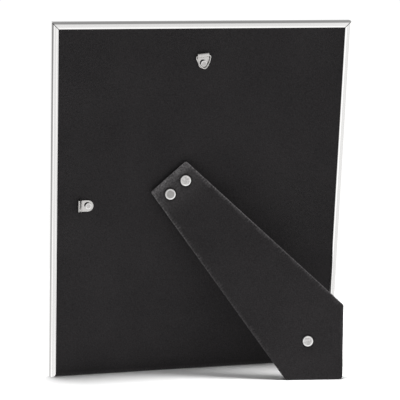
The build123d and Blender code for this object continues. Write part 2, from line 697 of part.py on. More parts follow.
# Strap hangers: a strip doubled loosely round the ring's straight side and held by one rivet
for name, strap_plane in (("top_hanger", TOP_STRAP), ("side_hanger", SIDE_STRAP)):
    with BuildPart() as strap:
        with BuildSketch(side_plane(strap_plane, 0, 0, 0)) as barrel:
            with Locations((STRAP_SLACK / 2, barrel_out)):
                SlotCenterToCenter(STRAP_SLACK, 2 * (WIRE_RADIUS + WIRE_PLAY + STRAP_SHEET))
            with BuildLine():
                Polyline(
                    (0, VELVET_REAR),
                    (-0.4 * STRAP_END, VELVET_REAR),
                    (-0.4 * STRAP_END, strap_top),
                    (0, strap_top),
                    close=True,
                )
            make_face()
            with Locations((STRAP_SLACK / 2, barrel_out)):
                SlotCenterToCenter(STRAP_SLACK, 2 * (WIRE_RADIUS + WIRE_PLAY), mode=Mode.SUBTRACT)
        extrude(barrel.sketch, amount=STRAP_WIDTH / 2, both=True)
        with BuildSketch(strap_plane.offset(VELVET_REAR)) as plate:
            with Locations((0, -STRAP_END / 2 - 1)):
                Rectangle(STRAP_WIDTH, STRAP_END - 2)
            with Locations((0, -STRAP_END)):
                Circle(STRAP_WIDTH / 2)
            # The hole is punched wide of its rivet, which leaves a crescent open above it on the left
            aside = (BACK.y_dir - BACK.x_dir).normalized() * HOLE_SHIFT
            with Locations((aside.dot(strap_plane.x_dir), aside.dot(strap_plane.y_dir) - STRAP_RIVET)):
                RegularPolygon(STRAP_HOLE / 2, 2 * HOLE_SIDES, mode=Mode.SUBTRACT)
        extrude(plate.sketch, amount=2 * STRAP_SHEET)
    strap.part.label = f"{name}_strap"
    export_step(strap.part, f"parts/{name}_strap.step")

    with BuildPart() as hanger_rivet:
        seat = Plane(
            origin=strap_plane.from_local_coords(Vector(0, -STRAP_RIVET, strap_top)),
            x_dir=strap_plane.x_dir,
            z_dir=strap_plane.z_dir,
        )
        section = rivet_half(seat, HANGER_RIVET, strap_top - BOARD_FRONT, 0)
        revolve(section, Axis(seat.origin, seat.z_dir))
    hanger_rivet.part.label = f"{name}_rivet"
    export_step(hanger_rivet.part, f"parts/{name}_rivet.step")

# Rings of bent wire, each hanging from its strap as its own weight leaves it
hang_turns = {"top_hanger": LEAN, "side_hanger": SIDE_RING_TURN}
for name, strap_plane in (("top_hanger", TOP_STRAP), ("side_hanger", SIDE_STRAP)):
    ring_plane = tipped(strap_plane.offset(barrel_out), hang_turns[name])
    with BuildPart() as ring:
        with BuildLine(ring_plane) as path:
            Polyline(
                (0, 0),
                (RING_HALF_BASE, 0),
                RING_SHOULDER,
                RING_KNEE,
                (0, -RING_HEIGHT),
                (-RING_KNEE[0], RING_KNEE[1]),
                (-RING_SHOULDER[0], RING_SHOULDER[1]),
                (-RING_HALF_BASE, 0),
                (0, 0),
            )
            bends = [(0, -RING_HEIGHT, RING_TIP)]
            for side in (-1, 1):
                bends.append((side * RING_HALF_BASE, 0, RING_CORNER))
                bends.append((side * RING_SHOULDER[0], RING_SHOULDER[1], RING_BEND))
                bends.append((side * RING_KNEE[0], RING_KNEE[1], RING_BOW))
            for x, y, radius in bends:
                bend = ring_plane.from_local_coords(Vector(x, y, 0))
                fillet(path.vertices().sort_by_distance(bend)[0], radius)
        with BuildSketch(Plane(origin=ring_plane.origin, x_dir=ring_plane.z_dir, z_dir=ring_plane.x_dir)):
            RegularPolygon(WIRE_RADIUS, WIRE_SIDES)
        sweep(path=path.line)
    ring.part.label = f"{name}_ring"
    export_step(ring.part, f"parts/{name}_ring.step")
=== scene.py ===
"""Looks of the easel back photo frame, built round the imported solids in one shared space.

Seen from behind, x runs to the right, y up the leaning back and z out of it.  Sizes are written in
millimetres and become metres where a point is made.
"""

import json
import logging
import math
from dataclasses import dataclass
from enum import Enum

import bpy
import numpy as np
from mathutils import Matrix, Vector, geometry, noise


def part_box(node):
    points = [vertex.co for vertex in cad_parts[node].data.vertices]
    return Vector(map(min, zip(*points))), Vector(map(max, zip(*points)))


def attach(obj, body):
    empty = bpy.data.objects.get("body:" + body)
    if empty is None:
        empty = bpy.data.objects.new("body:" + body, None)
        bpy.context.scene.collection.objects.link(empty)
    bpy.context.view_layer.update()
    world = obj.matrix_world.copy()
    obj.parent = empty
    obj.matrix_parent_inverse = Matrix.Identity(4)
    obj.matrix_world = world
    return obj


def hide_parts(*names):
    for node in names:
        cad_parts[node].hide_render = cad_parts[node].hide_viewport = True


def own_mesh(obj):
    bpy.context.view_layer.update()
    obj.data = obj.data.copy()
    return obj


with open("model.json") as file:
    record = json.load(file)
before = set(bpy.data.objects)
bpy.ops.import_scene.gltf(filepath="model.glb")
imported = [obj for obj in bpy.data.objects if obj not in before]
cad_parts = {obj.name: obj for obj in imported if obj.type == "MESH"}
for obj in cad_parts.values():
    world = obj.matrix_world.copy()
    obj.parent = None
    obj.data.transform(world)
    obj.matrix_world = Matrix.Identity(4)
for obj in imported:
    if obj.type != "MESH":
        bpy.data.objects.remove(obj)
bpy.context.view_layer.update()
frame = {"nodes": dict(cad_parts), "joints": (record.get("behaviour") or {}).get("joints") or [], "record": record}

MM = 0.001
WAVE_RADIANS = 20.0  # How far a wave texture of scale 1 turns in one unit
log = logging.getLogger("photo_frame")

Colour = tuple[float, float, float, float]
Sockets = dict[str | int, object]
Tree = bpy.types.NodeTree
Node = bpy.types.Node
Socket = bpy.types.NodeSocket
Material = bpy.types.Material
Mesh = bpy.types.Mesh
Thing = bpy.types.Object


class Body(str, Enum):
    """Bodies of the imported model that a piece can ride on."""

    FRAME = "frame"
    BACK = "back"
    STRUT = "strut"
    TOP_RING = "top_ring"
    SIDE_RING = "side_ring"


class Slot(str, Enum):
    """Material slots of the record for pieces that are made here."""

    GLASS = "window_glass"
    VELVET = "velvet"
    RIVET = "rivet_nickel"
    HANGER = "hanger_steel"
    RIBBON = "satin_ribbon"


def linear(code: str) -> Colour:
    """Turn an sRGB hex value into a linear colour.

    Args:
        code: Hex value such as "#1c1b1c".

    Returns:
        Red, green, blue and alpha for a colour socket.
    """
    shares = [int(code[start:start + 2], 16) / 255 for start in (1, 3, 5)]
    red, green, blue = (c / 12.92 if c <= 0.04045 else ((c + 0.055) / 1.055) ** 2.4 for c in shares)
    return (red, green, blue, 1.0)


def per_metre(size: float) -> float:
    """Texture scale whose features are about this many millimetres across."""
    return 1.0 / (size * MM)


def add(tree: Tree, kind: str, inputs: Sockets | None = None, **settings: object) -> Node:
    """Add a node with its settings, its input values and its links.

    Args:
        tree: Node tree that gets the node.
        kind: Blender's name of the node type.
        inputs: A value or an output socket for each input, by name or index.
        settings: Properties of the node itself.

    Returns:
        The new node.
    """
    node = tree.nodes.new(kind)
    for name, value in settings.items():
        setattr(node, name, value)
    for key, value in (inputs or {}).items():
        if isinstance(value, Socket):
            tree.links.new(value, node.inputs[key])
        else:
            node.inputs[key].default_value = value
    return node


def smooth_step(value: np.ndarray, low: float, high: float) -> np.ndarray:
    """Rise smoothly from 0 at the low value to 1 at the high one."""
    share = np.clip((value - low) / (high - low), 0.0, 1.0)
    return share * share * (3.0 - 2.0 * share)


def swells(points: np.ndarray, size: float, layer: float) -> np.ndarray:
    """Gentle unevenness of glued cloth.

    Args:
        points: Places on the cloth in millimetres.
        size: Width of the swells in millimetres.
        layer: Slice of the noise, so that each cloth has its own.

    Returns:
        A share from 0 to 1 for each place.
    """
    return np.array([0.5 - 0.5 * noise.noise(Vector((x / size, y / size, layer))) for x, y in points[:, :2]])


def box_middle(points: np.ndarray) -> np.ndarray:
    """Middle of the box round some points."""
    return (points.min(axis=0) + points.max(axis=0)) / 2


def evenly(line: np.ndarray, step: float, closed: bool = False) -> np.ndarray:
    """Space points evenly along a line.

    Args:
        line: Corners of the line in millimetres.
        step: Spacing of the points in millimetres.
        closed: Whether the line ends where it starts, so that its last point is left out.

    Returns:
        One row for each point.
    """
    run = np.concatenate([[0.0], np.cumsum(np.linalg.norm(np.diff(line, axis=0), axis=1))])
    stops = np.linspace(0.0, run[-1], round(run[-1] / step), endpoint=not closed)
    return np.column_stack([np.interp(stops, run, line[:, 0]), np.interp(stops, run, line[:, 1])])


def bands(rows: int, count: int, closed: bool = True, turned: bool = False) -> list[tuple[int, ...]]:
    """Faces between rows of points that follow each other.

    Args:
        rows: Number of rows.
        count: Points in each row.
        closed: Whether the last point of a row joins its first.
        turned: Whether the faces point the other way.

    Returns:
        Four corner numbers for each face.
    """
    faces = []
    for start in range(0, (rows - 1) * count, count):
        for i in range(count if closed else count - 1):
            j = (i + 1) % count
            corners = (start + i, start + j, start + count + j, start + count + i)
            faces.append((corners[0], *corners[:0:-1]) if turned else corners)
    return faces


@dataclass(frozen=True)
class Place:
    """Flat reference on the object, with its origin and three directions in metres.

    Attributes:
        origin: Point where x, y and z are zero.
        right: Direction of x.
        up: Direction of y.
        out: Direction of z, away from the surface.
    """

    origin: Vector
    right: Vector
    up: Vector
    out: Vector

    def at(self, x: float, y: float, z: float) -> Vector:
        """Point in space for a place in millimetres."""
        return self.origin + (self.right * x + self.up * y + self.out * z) * MM

    def many(self, points: np.ndarray) -> np.ndarray:
        """Points in space, one row each, for rows of millimetres."""
        axes = np.array([self.right, self.up, self.out], float)
        return np.array(self.origin, float) + points @ axes * MM

    def read(self, node: str) -> np.ndarray:
        """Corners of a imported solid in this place's millimetres.

        Args:
            node: Name of the solid.

        Returns:
            One row of x, y and z for each corner.
        """
        mesh = frame["nodes"][node].data
        flat = np.zeros(len(mesh.vertices) * 3, np.float32)
        mesh.vertices.foreach_get("co", flat)
        axes = np.array([self.right, self.up, self.out], float)
        return (flat.reshape(-1, 3) - np.array(self.origin, float)) @ axes.T / MM


@dataclass(frozen=True)
class Layout:
    """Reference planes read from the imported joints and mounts.

    Attributes:
        back: Rear face of the metal lip, with its origin in the middle of the bottom edge.
        folded: Same plane turned to the strut, with its origin on the hinge axis.
        strut: Outer face of the open strut, with its origin in the middle of its upper end.
        top_ring: Upper ring, with x along its hinge and y opposite to the way it hangs.
        side_ring: Side ring in the same way.
    """

    back: Place
    folded: Place
    strut: Place
    top_ring: Place
    side_ring: Place

    @classmethod
    def from_frame(cls) -> "Layout":
        """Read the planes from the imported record."""
        mounts = {mount["name"]: mount for mount in frame["record"]["mounts"]}
        joints = {joint["name"]: joint for joint in frame["joints"]}
        out = Vector(mounts["wall_face"]["axis"])
        up = -Vector(joints["back_slide"]["axis"])
        lip = Vector(mounts["wall_face"]["pos_m"])
        back = Place(lip - up * (lip.z / up.z), up.cross(out), up, out)
        fold = joints["strut_fold"]
        across = Vector(fold["axis"])
        uphill = out.cross(across)
        hinge = Vector(fold["pos_m"])
        folded = Place(hinge - out * back.out.dot(hinge - back.origin), across, uphill, out)
        angle = math.radians(fold["range_deg"][1])
        strut_out = out * math.cos(angle) + uphill * math.sin(angle)
        strut_up = uphill * math.cos(angle) - out * math.sin(angle)
        at_hinge = Place(hinge, across, strut_up, strut_out)
        reach = at_hinge.read("strut_velvet").max(axis=0)
        strut = Place(at_hinge.at(0.0, reach[1], reach[2]), across, strut_up, strut_out)
        rings = [cls.ring(joints[name], node) for name, node in (
            ("top_ring_swing", "top_hanger_ring"), ("side_ring_swing", "side_hanger_ring"))]
        return cls(back, folded, strut, *rings)

    @staticmethod
    def ring(joint: dict, node: str) -> Place:
        """Plane of a hanging ring.

        Args:
            joint: Joint that the ring swings on.
            node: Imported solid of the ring.

        Returns:
            A place on the ring's hinge axis.
        """
        axis = Vector(joint["axis"])
        hinge = Vector(joint["pos_m"])
        low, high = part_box(node)
        hang = (low + high) / 2 - hinge
        hang = (hang - axis * hang.dot(axis)).normalized()
        return Place(hinge, axis, -hang, axis.cross(-hang))


@dataclass(frozen=True)
class Finish:
    """Finish of one real material: a Principled surface with a pattern in object space.

    Attributes:
        name: Common name of the material.
        colour: Main colour as sRGB hex.
        shade: Second colour of its pattern as sRGB hex.
        roughness: Roughness of the surface.
        metallic: One for bare metal.
        specular: Specular level of the surface.
    """

    name: str
    colour: str
    shade: str
    roughness: float
    metallic: float = 0.0
    specular: float = 0.5

    def make(self) -> Material:
        """Build the material."""
        material = bpy.data.materials.new(self.name)
        material.use_nodes = True
        tree = material.node_tree
        shader = tree.nodes["Principled BSDF"]
        shader.inputs["Base Color"].default_value = linear(self.colour)
        shader.inputs["Metallic"].default_value = self.metallic
        shader.inputs["Roughness"].default_value = self.roughness
        shader.inputs["Specular IOR Level"].default_value = self.specular
        self.pattern(tree, shader, add(tree, "ShaderNodeTexCoord").outputs["Object"])
        return material

    def pattern(self, tree: Tree, shader: Node, where: Socket) -> None:
        """Draw the pattern of the material.

        Args:
            tree: Node tree of the material.
            shader: Its Principled node.
            where: Object coordinates in metres.
        """
        raise NotImplementedError


@dataclass(frozen=True)
class PlatedSheet(Finish):
    """Plated metal sheet: clear reflections that waver a little, with a faint haze from handling.

    Attributes:
        wave: Width of the rolling waves in millimetres.
        haze: Size of the hazy patches in millimetres.
        patches: Levels of the haze between which the gloss changes.
        spread: How far the haze changes the roughness.
        dent: Depth of the waves in millimetres.
    """

    metallic: float = 1.0
    wave: float = 24.0
    haze: float = 5.0
    patches: tuple[float, float] = (0.3, 0.7)
    spread: float = 0.08
    dent: float = 0.02

    def pattern(self, tree: Tree, shader: Node, where: Socket) -> None:
        """Waver the surface and cloud its gloss and tone."""
        roll, cloud = (
            add(tree, "ShaderNodeTexNoise", {"Vector": where, "Scale": per_metre(size), "Detail": detail})
            for size, detail in ((self.wave, 1.0), (self.haze, 5.0)))
        tone = add(tree, "ShaderNodeMix", {
            0: cloud.outputs["Fac"], 6: linear(self.colour), 7: linear(self.shade)}, data_type="RGBA")
        gloss = add(tree, "ShaderNodeMapRange", {
            "Value": cloud.outputs["Fac"], "From Min": self.patches[0], "From Max": self.patches[1],
            "To Min": self.roughness - self.spread, "To Max": self.roughness + self.spread})
        bump = add(tree, "ShaderNodeBump", {
            "Height": roll.outputs["Fac"], "Strength": 1.0, "Distance": self.dent * MM})
        tree.links.new(tone.outputs[2], shader.inputs["Base Color"])
        tree.links.new(gloss.outputs["Result"], shader.inputs["Roughness"])
        tree.links.new(bump.outputs["Normal"], shader.inputs["Normal"])


@dataclass(frozen=True)
class RivetPlate(PlatedSheet):
    """Satin plating on a set rivet: a dish of uneven tarnish inside a rim with a painted highlight.

    Attributes:
        tarnish: Colour of a fully tarnished dish as sRGB hex.
        rim: Colour of the painted highlight on the rim as sRGB hex.
    """

    tarnish: str = "#9d9b9a"
    rim: str = "#f0efee"

    def pattern(self, tree: Tree, shader: Node, where: Socket) -> None:
        """Dull the plating of some rivets, and paint a highlight along the rim."""
        super().pattern(tree, shader, where)
        tone = shader.inputs["Base Color"].links[0].from_socket
        for name, colour in (("dull", self.tarnish), ("rim", self.rim)):
            share = add(tree, "ShaderNodeAttribute", attribute_name=name)
            tone = add(tree, "ShaderNodeMix", {
                0: share.outputs["Fac"], 6: tone, 7: linear(colour)}, data_type="RGBA").outputs[2]
        tree.links.new(tone, shader.inputs["Base Color"])


@dataclass(frozen=True)
class ZincPlate(Finish):
    """Zinc plated steel: dull grey crystals of slightly different tone over a low gloss.

    Attributes:
        crystal: Size of the zinc crystals in millimetres.
    """

    metallic: float = 1.0
    crystal: float = 1.6

    def pattern(self, tree: Tree, shader: Node, where: Socket) -> None:
        """Tint each crystal by itself."""
        grain = add(tree, "ShaderNodeTexVoronoi", {"Vector": where, "Scale": per_metre(self.crystal)})
        tint = add(tree, "ShaderNodeSeparateColor", {"Color": grain.outputs["Color"]})
        tone = add(tree, "ShaderNodeMix", {
            0: tint.outputs["Red"], 6: linear(self.colour), 7: linear(self.shade)}, data_type="RGBA")
        tree.links.new(tone.outputs[2], shader.inputs["Base Color"])


@dataclass(frozen=True)
class Velvet(Finish):
    """Short cut pile: nearly black, a soft bloom at grazing angles, mottled nap, and a paler colour for rubbed
    spots and for painted sheen.

    Attributes:
        wear_and_sheen: Paler colour of the pile, used for rubbed spots and for painted sheen, as sRGB hex.
        tuft: Size of the pile grain in millimetres; real tufts are finer and are drawn this coarse to show.
        nap: Size of the patches where the pile lies another way, in millimetres.
        brushed: Weight of those patches beside the grain.
        pale: Levels of the pattern between which the pile passes from its colour to its shade.
        scuff: Size of the rubbed spots in millimetres.
        spotty: Levels of the spots between which they set in.
        rubbed: Least and greatest share of the paler pile that shows in them.
        bloom: Weight of the sheen.
        bloom_spread: Roughness of the sheen.
        bloom_tint: Colour of the sheen as sRGB hex.
        relief: Strength of the grain's relief, and its height in millimetres.
    """

    wear_and_sheen: str = "#6e6c6d"
    tuft: float = 1.0
    nap: float = 45.0
    brushed: float = 0.35
    pale: tuple[float, float] = (0.35, 1.0)
    scuff: float = 1.5
    spotty: tuple[float, float] = (0.36, 0.64)
    rubbed: tuple[float, float] = (0.3, 0.95)
    bloom: float = 0.12
    bloom_spread: float = 0.45
    bloom_tint: str = "#b9b6b7"
    relief: tuple[float, float] = (0.6, 0.25)

    def pattern(self, tree: Tree, shader: Node, where: Socket) -> None:
        """Mix pile grain, brushed nap, rubbed spots and painted sheen into the colour, and raise the grain."""
        shader.inputs["Sheen Weight"].default_value = self.bloom
        shader.inputs["Sheen Roughness"].default_value = self.bloom_spread
        shader.inputs["Sheen Tint"].default_value = linear(self.bloom_tint)
        grain, patch, spots = (
            add(tree, "ShaderNodeTexNoise", {"Vector": where, "Scale": per_metre(size), "Detail": detail})
            for size, detail in ((self.tuft, 3.0), (self.nap, 2.0), (self.scuff, 4.0)))
        lay = add(tree, "ShaderNodeMath", {
            0: patch.outputs["Fac"], 1: self.brushed, 2: grain.outputs["Fac"]}, operation="MULTIPLY_ADD")
        pale = add(tree, "ShaderNodeMapRange", {
            "Value": lay.outputs["Value"], "From Min": self.pale[0], "From Max": self.pale[1]})
        pile = add(tree, "ShaderNodeMix", {
            0: pale.outputs["Result"], 6: linear(self.colour), 7: linear(self.shade)}, data_type="RGBA")
        # The marked share is painted sheen on the strut's upper end and edges, held back round its rivets as
        # painted shade, plus a rubbed band on the back's lower edge; rubbed spots break it up
        sheen_and_wear = add(tree, "ShaderNodeAttribute", attribute_name="wear_and_sheen")
        spotted = add(tree, "ShaderNodeMapRange", {
            "Value": spots.outputs["Fac"], "From Min": self.spotty[0], "From Max": self.spotty[1],
            "To Min": self.rubbed[0], "To Max": self.rubbed[1]})
        rubbed = add(tree, "ShaderNodeMath", {
            0: sheen_and_wear.outputs["Fac"], 1: spotted.outputs["Result"]}, operation="MULTIPLY", use_clamp=True)
        tone = add(tree, "ShaderNodeMix", {
            0: rubbed.outputs["Value"], 6: pile.outputs[2], 7: linear(self.wear_and_sheen)}, data_type="RGBA")
        bump = add(tree, "ShaderNodeBump", {
            "Height": grain.outputs["Fac"], "Strength": self.relief[0], "Distance": self.relief[1] * MM})
        tree.links.new(tone.outputs[2], shader.inputs["Base Color"])
        tree.links.new(bump.outputs["Normal"], shader.inputs["Normal"])


@dataclass(frozen=True)
class PressedFibre(Finish):
    """Pressed fibre sheet, such as hardboard, grey card or paper: matte, with short fibres of two tones.

    Attributes:
        fibre: Width of a fibre in millimetres, drawn coarse enough to show.
        stretch: How many times longer than wide the fibres are.
        stray: How far the fibres wander.
        cloud: Size of the clouds of tone in millimetres.
        tones: Levels of fibres and clouds together between which the tone changes.
        relief: Height of the fibres in millimetres.
    """

    fibre: float = 0.5
    stretch: float = 5.0
    stray: float = 0.6
    cloud: float = 12.0
    tones: tuple[float, float] = (0.65, 1.35)
    relief: float = 0.05

    def pattern(self, tree: Tree, shader: Node, where: Socket) -> None:
        """Lay fibres along the height of the sheet and cloud them."""
        along = add(tree, "ShaderNodeMapping", {"Vector": where, "Scale": (1.0, 1.0, 1.0 / self.stretch)})
        strand = add(tree, "ShaderNodeTexNoise", {
            "Vector": along.outputs["Vector"], "Scale": per_metre(self.fibre), "Detail": 3.0,
            "Distortion": self.stray})
        cloud = add(tree, "ShaderNodeTexNoise", {
            "Vector": where, "Scale": per_metre(self.cloud), "Detail": 2.0})
        mixed = add(tree, "ShaderNodeMath", {
            0: strand.outputs["Fac"], 1: cloud.outputs["Fac"]}, operation="ADD")
        share = add(tree, "ShaderNodeMapRange", {
            "Value": mixed.outputs["Value"], "From Min": self.tones[0], "From Max": self.tones[1]})
        tone = add(tree, "ShaderNodeMix", {
            0: share.outputs["Result"], 6: linear(self.colour), 7: linear(self.shade)}, data_type="RGBA")
        bump = add(tree, "ShaderNodeBump", {
            "Height": strand.outputs["Fac"], "Strength": 0.5, "Distance": self.relief * MM})
        tree.links.new(tone.outputs[2], shader.inputs["Base Color"])
        tree.links.new(bump.outputs["Normal"], shader.inputs["Normal"])


@dataclass(frozen=True)
class FloatGlass(Finish):
    """Float glass: clear and flat, with the faint green of its iron and a trace of dust.

    Attributes:
        index: Refractive index of the glass.
        dust: Size of the dusty patches in millimetres.
        dusty: Levels of the patches between which dust sets in.
        dull: Roughness that the dust adds.
    """

    index: float = 1.52
    dust: float = 40.0
    dusty: tuple[float, float] = (0.4, 0.8)
    dull: float = 0.05

    def pattern(self, tree: Tree, shader: Node, where: Socket) -> None:
        """Let light through, and dim the gloss where dust lies."""
        shader.inputs["Transmission Weight"].default_value = 1.0
        shader.inputs["IOR"].default_value = self.index
        dust = add(tree, "ShaderNodeTexNoise", {
            "Vector": where, "Scale": per_metre(self.dust), "Detail": 6.0})
        gloss = add(tree, "ShaderNodeMapRange", {
            "Value": dust.outputs["Fac"], "From Min": self.dusty[0], "From Max": self.dusty[1],
            "To Min": self.roughness, "To Max": self.roughness + self.dull})
        tree.links.new(gloss.outputs["Result"], shader.inputs["Roughness"])


@dataclass(frozen=True)
class SatinWeave(Finish):
    """Satin ribbon: black floats that shine along the ribbon, with fine ribs across and woven edges.

    Attributes:
        rib: Spacing of the ribs in millimetres; real picks are finer and are drawn this coarse to show.
        stray: How far the ribs wander.
        slub: Size of the thicker spots in the thread, in millimetres.
        shine: How far the shine follows the thread.
        bloom: Weight of the sheen.
        relief: Strength of the ribs' relief, and its height in millimetres.
    """

    rib: float = 3.14
    stray: float = 0.4
    slub: float = 3.0
    shine: float = 0.4
    bloom: float = 0.15
    relief: tuple[float, float] = (0.5, 0.06)

    def pattern(self, tree: Tree, shader: Node, where: Socket) -> None:
        """Raise ribs across the ribbon along its own map."""
        shader.inputs["Anisotropic"].default_value = self.shine
        shader.inputs["Sheen Weight"].default_value = self.bloom
        flat = add(tree, "ShaderNodeUVMap", uv_map="weave")
        ribs = add(tree, "ShaderNodeTexWave", {
            "Vector": flat.outputs["UV"], "Scale": per_metre(self.rib) * 2.0 * math.pi / WAVE_RADIANS,
            "Distortion": self.stray, "Detail": 1.0},
            wave_type="BANDS", bands_direction="Y")
        slub = add(tree, "ShaderNodeTexNoise", {
            "Vector": flat.outputs["UV"], "Scale": per_metre(self.slub)})
        mixed = add(tree, "ShaderNodeMath", {
            0: ribs.outputs["Fac"], 1: slub.outputs["Fac"]}, operation="MULTIPLY")
        tone = add(tree, "ShaderNodeMix", {
            0: mixed.outputs["Value"], 6: linear(self.colour), 7: linear(self.shade)}, data_type="RGBA")
        bump = add(tree, "ShaderNodeBump", {
            "Height": ribs.outputs["Fac"], "Strength": self.relief[0], "Distance": self.relief[1] * MM})
        tree.links.new(tone.outputs[2], shader.inputs["Base Color"])
        tree.links.new(bump.outputs["Normal"], shader.inputs["Normal"])


@dataclass(frozen=True)
class PaintedFloor(Finish):
    """Matte white studio floor with the slightest unevenness of tone.

    Attributes:
        cloud: Size of the clouds of tone in millimetres.
    """

    cloud: float = 200.0

    def pattern(self, tree: Tree, shader: Node, where: Socket) -> None:
        """Cloud the white a little."""
        cloud = add(tree, "ShaderNodeTexNoise", {"Vector": where, "Scale": per_metre(self.cloud)})
        tone = add(tree, "ShaderNodeMix", {
            0: cloud.outputs["Fac"], 6: linear(self.colour), 7: linear(self.shade)}, data_type="RGBA")
        tree.links.new(tone.outputs[2], shader.inputs["Base Color"])


SILVER_PLATE = PlatedSheet("polished_silver_plate", "#f2f1f0", "#eae9e8", 0.09, spread=0.03)
SATIN_NICKEL = RivetPlate(
    "satin_nickel", "#e8e6e5", "#908e8d", 0.38, wave=3.0, haze=1.5, spread=0.1, dent=0.03)
BRIGHT_NICKEL = PlatedSheet("bright_nickel", "#d0cecc", "#bfbdbb", 0.26, wave=4.0, haze=1.5, dent=0.03)
# Steel for the gussets, darker than bare steel so that the mitre gaps over them show as painted shade lines
GAP_SHADE_STEEL = PlatedSheet("rolled_steel_gap_shade", "#6e6f72", "#57585c", 0.5)
ZINC = ZincPlate("zinc_plated_steel", "#b4b5b7", "#909296", 0.4)
BLACK_VELVET = Velvet("black_velvet", "#1a191a", "#312f30", 0.9, specular=0.15)
HARDBOARD = PressedFibre("hardboard", "#5b4330", "#3d2b1e", 0.8, specular=0.3)
GREY_CARD = PressedFibre("grey_card", "#98948c", "#847f77", 0.9, specular=0.25)
BLACK_PAPER = PressedFibre("black_lining_paper", "#161617", "#242425", 0.75, specular=0.3, fibre=0.4)
PHOTO_PAPER = PressedFibre("photo_paper", "#e6e5e2", "#dddcd8", 0.3, fibre=0.6, stretch=1.0, relief=0.01)
WINDOW_GLASS = FloatGlass("float_glass", "#fcfefd", "#fcfefd", 0.01)
BLACK_SATIN = SatinWeave("black_satin_ribbon", "#0f0f10", "#262627", 0.42, specular=0.3)
WHITE_FLOOR = PaintedFloor("white_studio_floor", "#fbfbfb", "#f8f8f8", 0.7, specular=0.2)


def dress(material: Material, *nodes: str) -> None:
    """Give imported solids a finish.

    Args:
        material: Finish to use.
        nodes: Names of the solids.
    """
    for node in nodes:
        mesh = frame["nodes"][node].data
        mesh.materials.clear()
        mesh.materials.append(material)
        log.info("%s dressed in %s", node, material.name)


def put(name: str, data: bpy.types.ID) -> Thing:
    """Make an object of a mesh, a light or a camera and put it into the scene."""
    made = bpy.data.objects.new(name, data)
    bpy.context.scene.collection.objects.link(made)
    return made


def piece(name: str, points: np.ndarray, faces: list, material: Material, smooth: bool = True) -> Thing:
    """Make a mesh object with its place in its mesh.

    Args:
        name: Name of the piece.
        points: One row of metres for each corner.
        faces: Corner numbers of each face.
        material: Finish of the piece.
        smooth: Whether its faces are shaded as one smooth surface.

    Returns:
        The new object, at the origin.
    """
    mesh = bpy.data.meshes.new(name)
    mesh.from_pydata(points.tolist(), [], faces)
    mesh.polygons.foreach_set("use_smooth", [smooth] * len(mesh.polygons))
    mesh.materials.append(material)
    mesh.update()
    return put(name, mesh)


def mark(mesh: Mesh, name: str, values: np.ndarray) -> None:
    """Store one number for each corner of a mesh."""
    mesh.attributes.new(name, "FLOAT", "POINT").data.foreach_set("value", values.astype(np.float32))


def settle(made: Thing, body: Body, slot: Slot, *nodes: str) -> None:
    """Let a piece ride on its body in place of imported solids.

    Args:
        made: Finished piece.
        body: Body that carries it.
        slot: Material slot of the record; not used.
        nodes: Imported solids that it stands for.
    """
    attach(made, body.value)
    if nodes:
        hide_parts(*nodes)
    log.info("%s: %d faces on %s", made.name, len(made.data.polygons), body.value)


class NodeShape:
    """Geometry Nodes tree with named inputs that turns an object into a plain mesh."""

    def __init__(self, name: str) -> None:
        """Start an empty tree with a mesh going in and a mesh coming out."""
        self.tree = bpy.data.node_groups.new(name, "GeometryNodeTree")
        self.tree.interface.new_socket("Geometry", in_out="INPUT", socket_type="NodeSocketGeometry")
        self.tree.interface.new_socket("Geometry", in_out="OUTPUT", socket_type="NodeSocketGeometry")
        self.start = self.tree.nodes.new("NodeGroupInput")

    def ask(self, name: str, kind: str = "NodeSocketFloat") -> Socket:
        """Add a named input and give its socket."""
        self.tree.interface.new_socket(name, in_out="INPUT", socket_type=kind)
        return self.start.outputs[name]

    def end(self, shape: Socket) -> None:
        """Realize the shape, smooth it, give it its material and send it out."""
        real = add(self.tree, "GeometryNodeRealizeInstances", {"Geometry": shape})
        smooth = add(self.tree, "GeometryNodeSetShadeSmooth", {"Geometry": real.outputs["Geometry"]})
        dressed = add(self.tree, "GeometryNodeSetMaterial", {
            "Geometry": smooth.outputs["Geometry"], "Material": self.ask("Material", "NodeSocketMaterial")})
        add(self.tree, "NodeGroupOutput", {"Geometry": dressed.outputs["Geometry"]})

    def bake(self, made: Thing, values: dict[str, object]) -> None:
        """Run the tree on an object and keep the result as its mesh.

        Args:
            made: Object that carries the starting points.
            values: Value of each named input.
        """
        names = {item.name: item.identifier for item in self.tree.interface.items_tree
                 if item.item_type == "SOCKET" and item.in_out == "INPUT"}
        modifier = made.modifiers.new("shape", "NODES")
        modifier.node_group = self.tree
        for name, value in values.items():
            modifier[names[name]] = value
        view = bpy.context.evaluated_depsgraph_get()
        mesh = bpy.data.meshes.new_from_object(made.evaluated_get(view))
        made.modifiers.remove(modifier)
        made.data = mesh


